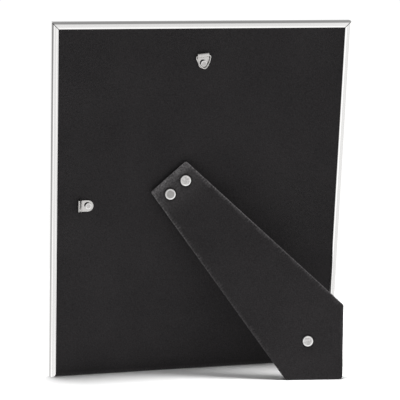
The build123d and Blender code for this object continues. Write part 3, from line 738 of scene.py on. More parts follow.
@dataclass
class MetalFrame:
    """Pressed rails, the gussets that join them, and the card, glass and print that they hold.

    Attributes:
        place: Plane of the back.
        rails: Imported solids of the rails.
        gussets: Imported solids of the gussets.
        clear: Gap between the pane and the print.
        seam: Width of the ground edges of the pane.
    """

    place: Place
    rails: tuple[str, ...] = ("top_rail", "left_rail", "right_rail", "bottom_rail")
    gussets: tuple[str, ...] = (
        "gusset_top_left", "gusset_top_right", "gusset_bottom_left", "gusset_bottom_right")
    clear: float = 0.06
    seam: float = 0.3

    def glaze(self) -> None:
        """Cut the pane with ground edges; soft light passes it unhindered on its way to the print."""
        solid = self.place.read("glass_pane")
        low, high = solid.min(axis=0), solid.max(axis=0)
        front, rear = low[2], high[2] - self.clear
        points = []
        levels = ((self.seam, front), (0.0, front + self.seam), (0.0, rear - self.seam), (self.seam, rear))
        for inset, level in levels:
            left, bottom, right, top = low[0] + inset, low[1] + inset, high[0] - inset, high[1] - inset
            points += [(left, bottom, level), (right, bottom, level), (right, top, level), (left, top, level)]
        faces = bands(len(levels), 4) + [(3, 2, 1, 0), (12, 13, 14, 15)]
        glass = WINDOW_GLASS.make()
        pane = piece("glass_pane_seamed", self.place.many(np.array(points)), faces, glass, smooth=False)
        pane.visible_shadow = False
        pane.visible_diffuse = False
        settle(pane, Body.FRAME, Slot.GLASS, "glass_pane")

    def dress(self) -> None:
        """Plate the rails and finish what lies inside them."""
        dress(SILVER_PLATE.make(), *self.rails)
        # The gussets' darker steel paints shade into the mitre gaps
        dress(GAP_SHADE_STEEL.make(), *self.gussets)
        dress(GREY_CARD.make(), "card_liner")
        dress(PHOTO_PAPER.make(), "photo_insert")


@dataclass
class VelvetBack:
    """Slide-out hardboard with velvet laid over its rear and round its lower edge.

    Attributes:
        place: Plane of the back.
        velvet: Velvet of the frame.
        step: Spacing of the cloth's points.
        turn: Radius of the cloth round the lower edge.
        uneven: How far the cloth dips between its high spots.
        swell: Distance between its high spots.
        dent: Depth and width of the dip round a rivet.
        edge_wear: How pale the pile is rubbed along the lower edge, and how far up it reaches.
    """

    place: Place
    velvet: Material
    step: float = 3.0
    turn: float = 0.5
    uneven: float = 0.07
    swell: float = 16.0
    dent: tuple[float, float] = (0.2, 4.0)
    edge_wear: tuple[float, float] = (0.35, 1.4)

    def build(self) -> None:
        """Lay the velvet on the board."""
        solid = self.place.read("board_velvet")
        low, high = solid.min(axis=0), solid.max(axis=0)
        columns = np.linspace(low[0], high[0], round((high[0] - low[0]) / self.step) + 1)
        rows = np.linspace(high[1], low[1] + self.turn, round((high[1] - low[1]) / self.step) + 1)
        path = [(row, high[2]) for row in rows]
        for angle in np.radians((22.5, 45.0, 67.5, 90.0)):
            up = low[1] + self.turn * (1 - math.sin(angle))
            path.append((up, high[2] - self.turn * (1 - math.cos(angle))))
        path.extend((low[1], depth) for depth in np.linspace(high[2] - self.turn, low[2], 4)[1:])
        points = np.array([(column, up, out) for up, out in path for column in columns])
        rivets = [box_middle(self.place.read(node)) for node in ("top_hanger_rivet", "side_hanger_rivet")]
        points[:, 2] -= self.dips(points, rivets)
        faces = bands(len(path), len(columns), closed=False, turned=True)
        cover = piece("board_velvet_cover", self.place.many(points), faces, self.velvet)
        strength, reach = self.edge_wear
        mark(cover.data, "wear_and_sheen", strength * smooth_step(-points[:, 1], -low[1] - reach, -low[1]))
        settle(cover, Body.BACK, Slot.VELVET, "board_velvet")

    def dips(self, points: np.ndarray, rivets: list[np.ndarray]) -> np.ndarray:
        """How far the cloth lies below its high spots.

        Args:
            points: Points of the cloth in millimetres.
            rivets: Middles of the rivets that press it down.

        Returns:
            A depth in millimetres for each point.
        """
        depth = self.uneven * swells(points, self.swell, layer=3.0)
        for middle in rivets:
            away = np.hypot(points[:, 0] - middle[0], points[:, 1] - middle[1])
            depth += self.dent[0] * np.exp(-(away / self.dent[1]) ** 2)
        return depth

    def dress(self) -> None:
        """Finish the board under the cloth."""
        dress(HARDBOARD.make(), "back_board", "strut_board")


@dataclass(frozen=True)
class WearAndSheen:
    """Where the strut's pile is painted paler with sheen, broken up by rubbed spots in the velvet, where painted
    shade holds it back round the rivets, and where the pile stands up, with distances in millimetres.

    Attributes:
        end: Strength of the painted sheen on the rolled upper end, and how far from that end it begins and is
            full.
        rim: Strength of the painted sheen along the edges.
        rim_reach: Distance from an edge within which its painted sheen is full, and where it ends.
        rim_low: Share of the edges' painted sheen that is left far below the upper end.
        rim_fade: Distance below the upper end where that share is reached, and where the edges' painted sheen is
            whole.
        floor_fade: Heights above the floor between which the painted sheen of the edges sets in.
        rivet_low: Share of the upper end's painted sheen that is left beside a rivet, which paints shade round it.
        rivet_fade: Distances from a rivet's rim between which the rest comes back.
        fuzz_low: Share of the fibres that stands on the flat face.
        fuzz_fade: Heights above the floor between which the fibres set in.
    """

    end: tuple[tuple[float, float, float], ...] = ((0.55, 9.0, 1.0), (0.286, 34.0, 4.0))
    rim: float = 0.9
    rim_reach: tuple[float, float] = (0.4, 1.7)
    rim_low: float = 0.45
    rim_fade: tuple[float, float] = (110.0, 10.0)
    floor_fade: tuple[float, float] = (4.0, 40.0)
    rivet_low: float = 0.15
    rivet_fade: tuple[float, float] = (0.2, 2.4)
    fuzz_low: float = 0.06
    fuzz_fade: tuple[float, float] = (0.8, 1.6)


@dataclass
class EaselStrut:
    """Folding strut: velvet drawn over its outer face and edges, and a paper lining inside.

    Attributes:
        place: Plane of the strut's outer face.
        velvet: Velvet of the frame.
        step: Spacing of points round the outline.
        mesh_step: Spacing of points on the face.
        edge: Radius of the cloth along the upper edges.
        under: Radius of the cloth along the inner edges.
        thick: Thickness of the strut with its hem.
        hem: Width of the turned-in hem.
        top_hem: Width of the hem at the upper end, which stops short of the hinge.
        hem_fade: Distances below the upper end between which the hem widens.
        cloth: Thickness of the cloth at the cut edge of the hem.
        uneven: How far the face dips between its high spots.
        swell: Distance between its high spots.
        roll: Length over which the upper end rolls down, and how far it drops.
        head: Radius of a rivet head that presses into the cloth.
        press: How far a head presses the cloth down, and how far round it that reaches.
        rings: Distances from a head's rim at which the cloth has points all round.
        spokes: Points in each such ring.
        margin: Room between the rings and the even points of the face.
        inset: Room between those points and the rim of the face, as a share of their spacing.
        wear_and_sheen: Where the pile is painted paler with sheen, and held darker round the rivets as painted
            shade.
    """

    place: Place
    velvet: Material
    step: float = 0.8
    mesh_step: float = 2.2
    edge: float = 1.1
    under: float = 0.3
    thick: float = 3.5
    hem: float = 5.0
    top_hem: float = 2.4
    hem_fade: tuple[float, float] = (2.5, 5.5)
    cloth: float = 0.28
    uneven: float = 0.05
    swell: float = 11.0
    roll: tuple[float, float] = (13.0, 1.5)
    head: float = 4.5
    press: tuple[float, float] = (0.4, 1.3)
    rings: tuple[float, ...] = (-0.8, 0.1, 0.6, 1.2, 2.0, 3.0)
    spokes: int = 36
    margin: float = 1.0
    inset: float = 0.6
    wear_and_sheen: WearAndSheen = WearAndSheen()

    def outline(self) -> tuple[np.ndarray, np.ndarray]:
        """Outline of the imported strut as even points.

        Returns:
            Points in millimetres, anticlockwise, and the direction out of the edge at each.
        """
        flat = self.place.read("strut_velvet")[:, :2]
        hull = flat[geometry.convex_hull_2d([Vector(p) for p in flat])]
        if np.cross(hull[1] - hull[0], hull[2] - hull[0]) < 0:
            hull = hull[::-1]
        even = evenly(np.vstack([hull, hull[:1]]), self.step, closed=True)
        ahead = np.roll(even, -1, axis=0) - np.roll(even, 1, axis=0)
        ahead /= np.linalg.norm(ahead, axis=1)[:, None]
        return even, np.column_stack([ahead[:, 1], -ahead[:, 0]])

    def surface(self, points: np.ndarray) -> np.ndarray:
        """Height of the outer face: rolled down at its upper end, gently uneven, pressed in round rivets.

        Args:
            points: Places on the face in millimetres.

        Returns:
            A height in millimetres for each place.
        """
        rolled = np.clip(points[:, 1] + self.roll[0], 0.0, None) / self.roll[0]
        height = -self.roll[1] * rolled ** 2
        height -= self.uneven * swells(points, self.swell, layer=7.0)
        away = np.clip(self.from_rivets(points), 0.0, None)
        return height - self.press[0] * np.exp(-(away / self.press[1]) ** 2)

    def rivets(self) -> list[np.ndarray]:
        """Middles of the rivets through the strut."""
        return [box_middle(group) for node in ("strut_rivets", "foot_rivet")
                for group in split_rivets(self.place.read(node))]

    def from_rivets(self, points: np.ndarray) -> np.ndarray:
        """Distance from each point to the rim of the nearest rivet head, less than 0 under the head."""
        gaps = [np.hypot(points[:, 0] - x, points[:, 1] - y) for x, y, _ in self.rivets()]
        return np.min(gaps, axis=0) - self.head

    def hem_width(self, points: np.ndarray) -> np.ndarray:
        """Width of the hem at each point of the outline."""
        return self.top_hem + (self.hem - self.top_hem) * smooth_step(-points[:, 1], *self.hem_fade)

    def build(self) -> Thing:
        """Draw the velvet over the strut."""
        ring, away = self.outline()
        top = self.surface(ring - away * self.edge)
        low = -self.thick
        hem = self.hem_width(ring)
        flat = np.full(len(ring), low)
        loops = [(hem, flat + self.cloth), (hem, flat)]
        for angle in np.radians((0.0, 45.0, 90.0)):
            loops.append((self.under * (1 - math.sin(angle)), flat + self.under * (1 - math.cos(angle))))
        loops.append((0.0, (low + self.under + top - self.edge) / 2))
        for angle in np.radians((0.0, 22.5, 45.0, 67.5, 90.0)):
            loops.append((self.edge * (1 - math.cos(angle)), top - self.edge * (1 - math.sin(angle))))
        rows = [np.column_stack([ring - away * np.reshape(inset, (-1, 1)), height])
                for inset, height in loops]
        count = len(ring)
        faces = bands(len(rows), count)
        rim = rows[-1][:, :2]
        inner, triangles = self.fill(rim)
        start = (len(rows) - 1) * count
        faces += [tuple(start + corner for corner in triangle) for triangle in triangles]
        points = np.vstack([*rows, np.column_stack([inner, self.surface(inner)])])
        cover = piece("strut_velvet_cover", self.place.many(points), faces, self.velvet)
        self.sheen_and_wear(cover.data, points, ring)
        settle(cover, Body.STRUT, Slot.VELVET, "strut_velvet")
        return cover

    def fill(self, rim: np.ndarray) -> tuple[np.ndarray, list[tuple[int, ...]]]:
        """Fill the face inside its rim with even triangles.

        Args:
            rim: Outline of the face in millimetres.

        Returns:
            Points inside the rim, and triangles that number the rim first and these points after it.
        """
        xs = np.arange(rim[:, 0].min(), rim[:, 0].max(), self.mesh_step)
        ys = np.arange(rim[:, 1].min(), rim[:, 1].max(), self.mesh_step)
        grid = np.array([(x, y) for y in ys for x in xs])
        edges = np.roll(rim, -1, axis=0) - rim
        normals = np.column_stack([-edges[:, 1], edges[:, 0]]) / np.linalg.norm(edges, axis=1)[:, None]
        depth = np.min(np.einsum("pek,ek->pe", grid[:, None, :] - rim[None, :, :], normals), axis=1)
        gap = self.from_rivets(grid)
        clear = (gap < self.rings[0] - self.margin) | (gap > self.rings[-1] + self.margin)
        turns = np.linspace(0.0, 2.0 * math.pi, self.spokes, endpoint=False)
        circles = [(x + (self.head + out) * math.cos(turn), y + (self.head + out) * math.sin(turn))
                   for x, y, _ in self.rivets() for out in self.rings for turn in turns]
        inner = np.vstack([grid[(depth > self.inset * self.mesh_step) & clear], circles])
        both = [Vector(point) for point in np.vstack([rim, inner])]
        loop = list(range(len(rim)))
        found = geometry.delaunay_2d_cdt(both, [], [loop], 1, 1e-6, True)
        origin = [source[0] for source in found[3]]
        return inner, [tuple(origin[corner] for corner in face) for face in found[2]]

    def sheen_and_wear(self, mesh: Mesh, points: np.ndarray, ring: np.ndarray) -> None:
        """Mark where the pile is painted paler: painted sheen on the upper end first, held back round the rivets
        as painted shade, then painted sheen along the edges.

        Args:
            mesh: Mesh of the cover.
            points: Its points in millimetres.
            ring: Outline of the strut.
        """
        to_edge = np.min(np.linalg.norm(points[:, None, :2] - ring[None, ::3, :], axis=2), axis=1)
        wear_and_sheen, up = self.wear_and_sheen, points[:, 1]
        # Painted sheen on the rolled upper end
        end = sum(strength * smooth_step(up, -far, -near) for strength, far, near in wear_and_sheen.end)
        # Painted shade round the rivets: the upper end's paler pile is held back there
        clear = smooth_step(self.from_rivets(points), *wear_and_sheen.rivet_fade)
        rivet_shade_factor = wear_and_sheen.rivet_low + (1 - wear_and_sheen.rivet_low) * clear
        # Painted sheen along the edges, fading down the strut and towards the floor
        rim = 1.0 - smooth_step(to_edge, *wear_and_sheen.rim_reach)
        upper = wear_and_sheen.rim_low + (1 - wear_and_sheen.rim_low) * smooth_step(up, -wear_and_sheen.rim_fade[0], -wear_and_sheen.rim_fade[1])
        raised = self.place.many(points)[:, 2] / MM
        mark(mesh, "wear_and_sheen", end * rivet_shade_factor + wear_and_sheen.rim * rim * upper * smooth_step(raised, *wear_and_sheen.floor_fade))
        fuzz = wear_and_sheen.fuzz_low + (1 - wear_and_sheen.fuzz_low) * rim
        mark(mesh, "fuzz", fuzz * smooth_step(raised, *wear_and_sheen.fuzz_fade))

    def dress(self) -> None:
        """Line the inner face."""
        dress(BLACK_PAPER.make(), "strut_lining")


@dataclass
class PileFringe:
    """Single fibres that stand up from the velvet, thickest along its edges.

    Attributes:
        length: Length of a fibre.
        thick: Thickness of a fibre, coarser than the real one so that it shows.
        density: Fibres on each square millimetre where the fringe is thickest.
        tilt: Greatest tilt of a fibre in degrees.
        seed: Seed of the scatter.
    """

    length: float = 0.5
    thick: float = 0.05
    density: float = 2.2
    tilt: float = 40.0
    seed: int = 11

    def shape(self) -> NodeShape:
        """Tree that scatters fibres over a mesh by its fuzz."""
        made = NodeShape("velvet_fibres")
        tree = made.tree
        fuzz = add(tree, "GeometryNodeInputNamedAttribute", {"Name": "fuzz"}, data_type="FLOAT")
        density = add(tree, "ShaderNodeMath", {
            0: fuzz.outputs["Attribute"], 1: made.ask("Density")}, operation="MULTIPLY")
        scatter = add(tree, "GeometryNodeDistributePointsOnFaces", {
            "Mesh": made.start.outputs["Geometry"], "Density": density.outputs["Value"],
            "Seed": made.ask("Seed", "NodeSocketInt")})
        length = made.ask("Length")
        fibre = add(tree, "GeometryNodeMeshCone", {
            "Vertices": 3, "Radius Top": 0.0, "Radius Bottom": made.ask("Thickness"), "Depth": length},
            fill_type="NONE")
        tilt = made.ask("Tilt")
        other = add(tree, "ShaderNodeMath", {0: tilt, 1: -1.0}, operation="MULTIPLY")
        most = add(tree, "ShaderNodeCombineXYZ", {"X": tilt, "Y": tilt, "Z": math.pi})
        least = add(tree, "ShaderNodeCombineXYZ", {
            "X": other.outputs["Value"], "Y": other.outputs["Value"], "Z": -math.pi})
        lean = add(tree, "FunctionNodeRandomValue", {
            0: least.outputs["Vector"], 1: most.outputs["Vector"]}, data_type="FLOAT_VECTOR")
        turn = add(tree, "FunctionNodeEulerToRotation", {"Euler": lean.outputs[0]})
        stand = add(tree, "FunctionNodeRotateRotation", {
            "Rotation": scatter.outputs["Rotation"], "Rotate By": turn.outputs["Rotation"]},
            rotation_space="LOCAL")
        planted = add(tree, "GeometryNodeInstanceOnPoints", {
            "Points": scatter.outputs["Points"], "Instance": fibre.outputs["Mesh"],
            "Rotation": stand.outputs["Rotation"]})
        made.end(planted.outputs["Instances"])
        return made

    def build(self, name: str, cover: Thing, body: Body) -> None:
        """Plant the fibres on a velvet cover.

        Args:
            name: Name of the fringe.
            cover: Cover that it stands on.
            body: Body that carries both.
        """
        fringe = put(name, cover.data.copy())
        self.shape().bake(fringe, {
            "Density": self.density / (MM * MM), "Seed": self.seed, "Length": self.length * MM,
            "Thickness": self.thick * MM, "Tilt": math.radians(self.tilt),
            "Material": cover.data.materials[0]})
        settle(fringe, body, Slot.VELVET)


def split_rivets(points: np.ndarray, apart: float = 3.0) -> list[np.ndarray]:
    """Split the corners of a rivet group into single rivets.

    Args:
        points: Corners of the group in millimetres.
        apart: Least gap between rivets along x.

    Returns:
        The corners of each rivet.
    """
    ordered = points[np.argsort(points[:, 0])]
    return np.split(ordered, np.flatnonzero(np.diff(ordered[:, 0]) > apart) + 1)


@dataclass(frozen=True)
class RivetKind:
    """Sizes of one kind of rivet.

    Attributes:
        head: Radius of the head.
        height: Height of the head.
        shank: Radius of the shank.
        tail: Radius of the spread tail.
    """

    head: float
    height: float
    shank: float
    tail: float


@dataclass
class RivetSet:
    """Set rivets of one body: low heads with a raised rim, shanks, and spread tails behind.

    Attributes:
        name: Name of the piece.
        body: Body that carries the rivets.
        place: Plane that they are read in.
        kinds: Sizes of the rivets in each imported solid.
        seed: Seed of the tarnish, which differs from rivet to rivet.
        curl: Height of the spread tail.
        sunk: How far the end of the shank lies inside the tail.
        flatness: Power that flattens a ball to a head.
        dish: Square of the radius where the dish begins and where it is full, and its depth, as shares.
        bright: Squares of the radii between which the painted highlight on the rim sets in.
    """

    name: str
    body: Body
    place: Place
    kinds: dict[str, RivetKind]
    seed: int = 0
    curl: float = 0.6
    sunk: float = 0.1
    flatness: float = 0.15
    dish: tuple[float, float, float] = (0.68, 0.42, 0.09)
    bright: tuple[float, float] = (0.45, 0.7)

    def shape(self) -> NodeShape:
        """Tree that sets a head on each point and a shank behind it."""
        made = NodeShape(self.name + "_heads")
        tree = made.tree
        ball = add(tree, "GeometryNodeMeshUVSphere", {"Segments": 40, "Rings": 24, "Radius": 1.0})
        where = add(tree, "GeometryNodeInputPosition")
        spot = add(tree, "ShaderNodeSeparateXYZ", {0: where.outputs["Position"]})
        above = add(tree, "ShaderNodeMath", {0: spot.outputs["Z"], 1: 0.0}, operation="MAXIMUM")
        flat = add(tree, "ShaderNodeMath", {
            0: above.outputs["Value"], 1: made.ask("Flatness")}, operation="POWER")
        x2 = add(tree, "ShaderNodeMath", {0: spot.outputs["X"], 1: spot.outputs["X"]}, operation="MULTIPLY")
        r2 = add(tree, "ShaderNodeMath", {
            0: spot.outputs["Y"], 1: spot.outputs["Y"], 2: x2.outputs["Value"]}, operation="MULTIPLY_ADD")
        inside = add(tree, "ShaderNodeMapRange", {
            "Value": r2.outputs["Value"], "From Min": made.ask("Rim"), "From Max": self.dish[1],
            "To Min": 0.0, "To Max": made.ask("Dish")}, interpolation_type="SMOOTHSTEP")
        tall = add(tree, "ShaderNodeMath", {
            0: flat.outputs["Value"], 1: inside.outputs["Result"]}, operation="SUBTRACT")
        level = add(tree, "ShaderNodeMath", {0: tall.outputs["Value"], 1: 0.0}, operation="MAXIMUM")
        shaped = add(tree, "ShaderNodeCombineXYZ", {
            "X": spot.outputs["X"], "Y": spot.outputs["Y"], "Z": level.outputs["Value"]})
        # Mark the rim of each head for its painted highlight
        near = add(tree, "ShaderNodeMapRange", {
            "Value": r2.outputs["Value"], "From Min": self.bright[0], "From Max": self.bright[1]})
        rim_highlighted = add(tree, "GeometryNodeStoreNamedAttribute", {
            "Geometry": ball.outputs["Mesh"], "Name": "rim", "Value": near.outputs["Result"]},
            data_type="FLOAT", domain="POINT")
        head = add(tree, "GeometryNodeSetPosition", {
            "Geometry": rim_highlighted.outputs["Geometry"], "Position": shaped.outputs["Vector"]})
        post = add(tree, "GeometryNodeMeshCylinder", {"Vertices": 20, "Radius": 1.0, "Depth": 1.0})
        below = add(tree, "GeometryNodeTransform", {
            "Geometry": post.outputs["Mesh"], "Translation": (0.0, 0.0, -0.5)})
        axis = add(tree, "GeometryNodeInputNamedAttribute", {"Name": "axis"}, data_type="FLOAT_VECTOR")
        facing = add(tree, "FunctionNodeAlignRotationToVector", {
            "Vector": axis.outputs["Attribute"]}, axis="Z")
        shank = add(tree, "GeometryNodeInputNamedAttribute", {"Name": "shank"}, data_type="BOOLEAN")
        parts = []
        for shape, size, some in ((head.outputs["Geometry"], "head_size", True),
                                  (below.outputs["Geometry"], "post_size", shank.outputs["Attribute"])):
            scale = add(tree, "GeometryNodeInputNamedAttribute", {"Name": size}, data_type="FLOAT_VECTOR")
            placed = add(tree, "GeometryNodeInstanceOnPoints", {
                "Points": made.start.outputs["Geometry"], "Selection": some, "Instance": shape,
                "Rotation": facing.outputs["Rotation"], "Scale": scale.outputs["Attribute"]})
            parts.append(placed.outputs["Instances"])
        joined = add(tree, "GeometryNodeJoinGeometry", {"Geometry": parts[0]})
        tree.links.new(parts[1], joined.inputs["Geometry"])
        made.end(joined.outputs["Geometry"])
        return made

    def build(self, material: Material) -> None:
        """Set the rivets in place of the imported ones.

        Args:
            material: Finish of the rivets.
        """
        spots, axes, heads, posts = [], [], [], []
        for node, kind in self.kinds.items():
            for group in split_rivets(self.place.read(node)):
                low, high = group.min(axis=0), group.max(axis=0)
                x, y = (low[:2] + high[:2]) / 2
                seat = high[2] - kind.height
                ends = ((seat, 1, kind.head, kind.height), (low[2] + self.curl, -1, kind.tail, self.curl))
                for level, side, radius, tall in ends:
                    spots.append(self.place.at(x, y, level))
                    axes.append(self.place.out * side)
                    heads.append((radius * MM, radius * MM, tall * MM))
                    posts.append((kind.shank * MM, kind.shank * MM, (seat - low[2] - self.sunk) * MM))
        mesh = bpy.data.meshes.new(self.name)
        mesh.from_pydata(spots, [], [])
        for name, rows in (("axis", axes), ("head_size", heads), ("post_size", posts)):
            layer = mesh.attributes.new(name, "FLOAT_VECTOR", "POINT")
            layer.data.foreach_set("vector", np.array(rows, np.float32).ravel())
        shanks = mesh.attributes.new("shank", "BOOLEAN", "POINT")
        shanks.data.foreach_set("value", [True, False] * (len(spots) // 2))
        mark(mesh, "dull", np.random.default_rng(self.seed).random(len(spots)) ** 2)
        made = put(self.name, mesh)
        self.shape().bake(made, {
            "Flatness": self.flatness, "Rim": self.dish[0], "Dish": self.dish[2], "Material": material})
        settle(made, self.body, Slot.RIVET, *self.kinds)


@dataclass
class StayRibbon:
    """Ribbon that keeps the strut from opening too far, riveted flat at both ends.

    Attributes:
        back: Plane of the board, turned to the strut and with its origin on the hinge axis.
        strut: Plane of the strut's outer face.
        width: Width of the ribbon.
        thick: Thickness of the ribbon.
        tail: Length beyond each rivet.
        lead: Length from a rivet to the bend.
        bend: Radius of the bends.
        lining: Depth of the lined inner face below the strut's outer face.
        step: Spacing of points along the ribbon.
        columns: Points across the ribbon.
        selvedge: Share of the half width where the woven edge begins, and thickness inside it as a share.
        arc: Points in each bend.
    """

    back: Place
    strut: Place
    width: float = 12.0
    thick: float = 0.4
    tail: float = 8.0
    lead: float = 5.5
    bend: float = 1.5
    lining: float = 3.43
    step: float = 0.7
    columns: int = 13
    selvedge: tuple[float, float] = (0.9, 0.8)
    arc: int = 9

    def path(self) -> tuple[float, np.ndarray]:
        """Side view of the ribbon.

        Returns:
            Its place along the hinge, and points down the board and out of it in millimetres.
        """
        foot_x, foot_y, _ = box_middle(self.strut.read("foot_rivet"))
        board_y = box_middle(self.back.read("stay_rivet"))[1]
        level = self.back.read("board_velvet")[:, 2].max()
        corners = []
        for down in (foot_y - self.tail, foot_y + self.lead):
            spot = self.strut.at(foot_x, down, -self.lining) - self.back.origin
            corners.append((spot.dot(self.back.up) / MM, spot.dot(self.back.out) / MM))
        corners += [(board_y + self.lead, level), (board_y - self.tail, level)]
        return foot_x, self.rounded(np.array(corners))

    def rounded(self, corners: np.ndarray) -> np.ndarray:
        """Round the inner corners of a polyline and space its points evenly.

        Args:
            corners: Corners in millimetres.

        Returns:
            Even points along the rounded line.
        """
        line = [corners[0]]
        for before, corner, after in zip(corners, corners[1:], corners[2:]):
            first, second = before - corner, after - corner
            first, second = first / np.linalg.norm(first), second / np.linalg.norm(second)
            half = math.acos(float(np.clip(first @ second, -1.0, 1.0))) / 2
            reach = self.bend / math.tan(half)
            bisector = (first + second) / np.linalg.norm(first + second)
            middle = corner + bisector * (self.bend / math.sin(half))
            start, stop = corner + first * reach - middle, corner + second * reach - middle
            for share in np.linspace(0.0, 1.0, self.arc):
                spoke = start * (1 - share) + stop * share
                line.append(middle + spoke / np.linalg.norm(spoke) * self.bend)
        return evenly(np.array([*line, corners[-1]]), self.step)

    def build(self, material: Material) -> None:
        """Weave the ribbon from the strut to the board.

        Args:
            material: Finish of the ribbon.
        """
        middle, line = self.path()
        ahead = np.gradient(line, axis=0)
        ahead /= np.linalg.norm(ahead, axis=1)[:, None]
        across = np.linspace(-1.0, 1.0, self.columns)
        half = self.thick / 2 * np.where(np.abs(across) > self.selvedge[0], 1.0, self.selvedge[1])
        loop = [(x, 1) for x in range(self.columns)] + [(x, -1) for x in reversed(range(self.columns))]
        points = []
        for (down, out), (run, rise) in zip(line, ahead):
            # The ribbon's own line lies half its thickness off the faces that it rests on
            centre = np.array([down, out]) + np.array([-rise, run]) * -self.thick / 2
            for column, side in loop:
                lift = np.array([-rise, run]) * half[column] * side
                points.append((middle + across[column] * self.width / 2, *(centre + lift)))
        count = len(loop)
        faces = bands(len(line), count, turned=True)
        faces += [tuple(range(count)), tuple(range(len(points) - 1, len(points) - count - 1, -1))]
        ribbon = piece("stay_ribbon_satin", self.back.many(np.array(points)), faces, material)
        self.map(ribbon.data, count)
        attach(ribbon, Body.BACK.value)
        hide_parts("stay_ribbon")
        anchor = self.back.at(middle, float(line[-1][0]), float(line[-1][1]))
        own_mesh(ribbon)
        log.info("%s: %d faces from %s to %s", ribbon.name, len(faces), Body.BACK.value, Body.STRUT.value)

    def map(self, mesh: Mesh, count: int) -> None:
        """Lay the weave's map along the ribbon, in metres.

        Args:
            mesh: Mesh of the ribbon.
            count: Points round one section.
        """
        layer = mesh.uv_layers.new(name="weave")
        for corner in mesh.loops:
            row, place = divmod(corner.vertex_index, count)
            column = place if place < self.columns else 2 * self.columns - 1 - place
            across = column / (self.columns - 1) * self.width
            layer.data[corner.index].uv = (across * MM, row * self.step * MM)


@dataclass
class RingHanger:
    """Strap hanger: a ring of bent wire that swings in a riveted strap.

    Attributes:
        body: Body of the ring, whose name also begins the names of its pieces.
        place: Plane of the ring.
        wire: Radius of the wire.
        outline: Corners of the ring down one side from hinge to tip: x, y and the radius of the bend.
    """

    body: Body
    place: Place
    wire: float = 0.6
    outline: tuple[tuple[float, float, float], ...] = (
        (5.8, 0.0, 0.9), (6.0, -1.7, 1.2), (4.4, -6.0, 5.0), (0.0, -11.6, 2.0))

    def shape(self) -> NodeShape:
        """Tree that bends round wire along an outline."""
        made = NodeShape("bent_wire")
        tree = made.tree
        line = add(tree, "GeometryNodeMeshToCurve", {"Mesh": made.start.outputs["Geometry"]})
        bend = add(tree, "GeometryNodeInputNamedAttribute", {"Name": "bend"}, data_type="FLOAT")
        bent = add(tree, "GeometryNodeFilletCurve", {
            "Curve": line.outputs["Curve"], "Radius": bend.outputs["Attribute"], "Count": 9,
            "Limit Radius": True}, mode="POLY")
        section = add(tree, "GeometryNodeCurvePrimitiveCircle", {
            "Resolution": 16, "Radius": made.ask("Wire")})
        wire = add(tree, "GeometryNodeCurveToMesh", {
            "Curve": bent.outputs["Curve"], "Profile Curve": section.outputs["Curve"]})
        made.end(wire.outputs["Mesh"])
        return made

    def build(self, material: Material) -> None:
        """Bend the ring and dress its strap.

        Args:
            material: Finish of the strap and the ring.
        """
        side = self.body.value.removesuffix("_ring")
        name = side + "_ring_wire"
        corners = [*self.outline, *((-x, y, bend) for x, y, bend in reversed(self.outline[:-1]))]
        mesh = bpy.data.meshes.new(name)
        links = [(i, (i + 1) % len(corners)) for i in range(len(corners))]
        mesh.from_pydata([self.place.at(x, y, 0.0) for x, y, _ in corners], links, [])
        mark(mesh, "bend", np.array([bend * MM for _, _, bend in corners]))
        ring = put(name, mesh)
        self.shape().bake(ring, {"Wire": self.wire * MM, "Material": material})
        settle(ring, self.body, Slot.HANGER, side + "_hanger_ring")
        dress(material, side + "_hanger_strap")


@dataclass(frozen=True)
class Softbox:
    """Soft rectangular light; polished metal reflects the room and not this light.

    Attributes:
        name: Name of the light.
        place: Its middle in metres.
        tilt: Angle in degrees by which it is turned from straight down towards the camera's side.
        size: Its width and depth in metres.
        power: Its power in watts.
    """

    name: str
    place: tuple[float, float, float]
    tilt: float
    size: tuple[float, float]
    power: float

    def hang(self) -> None:
        """Hang the light."""
        lamp = bpy.data.lights.new(self.name, "AREA")
        lamp.shape = "RECTANGLE"
        lamp.size, lamp.size_y = self.size
        lamp.energy = self.power
        made = put(self.name, lamp)
        made.location = self.place
        made.rotation_euler.x = math.radians(self.tilt)
        made.visible_glossy = False
        made.visible_camera = False


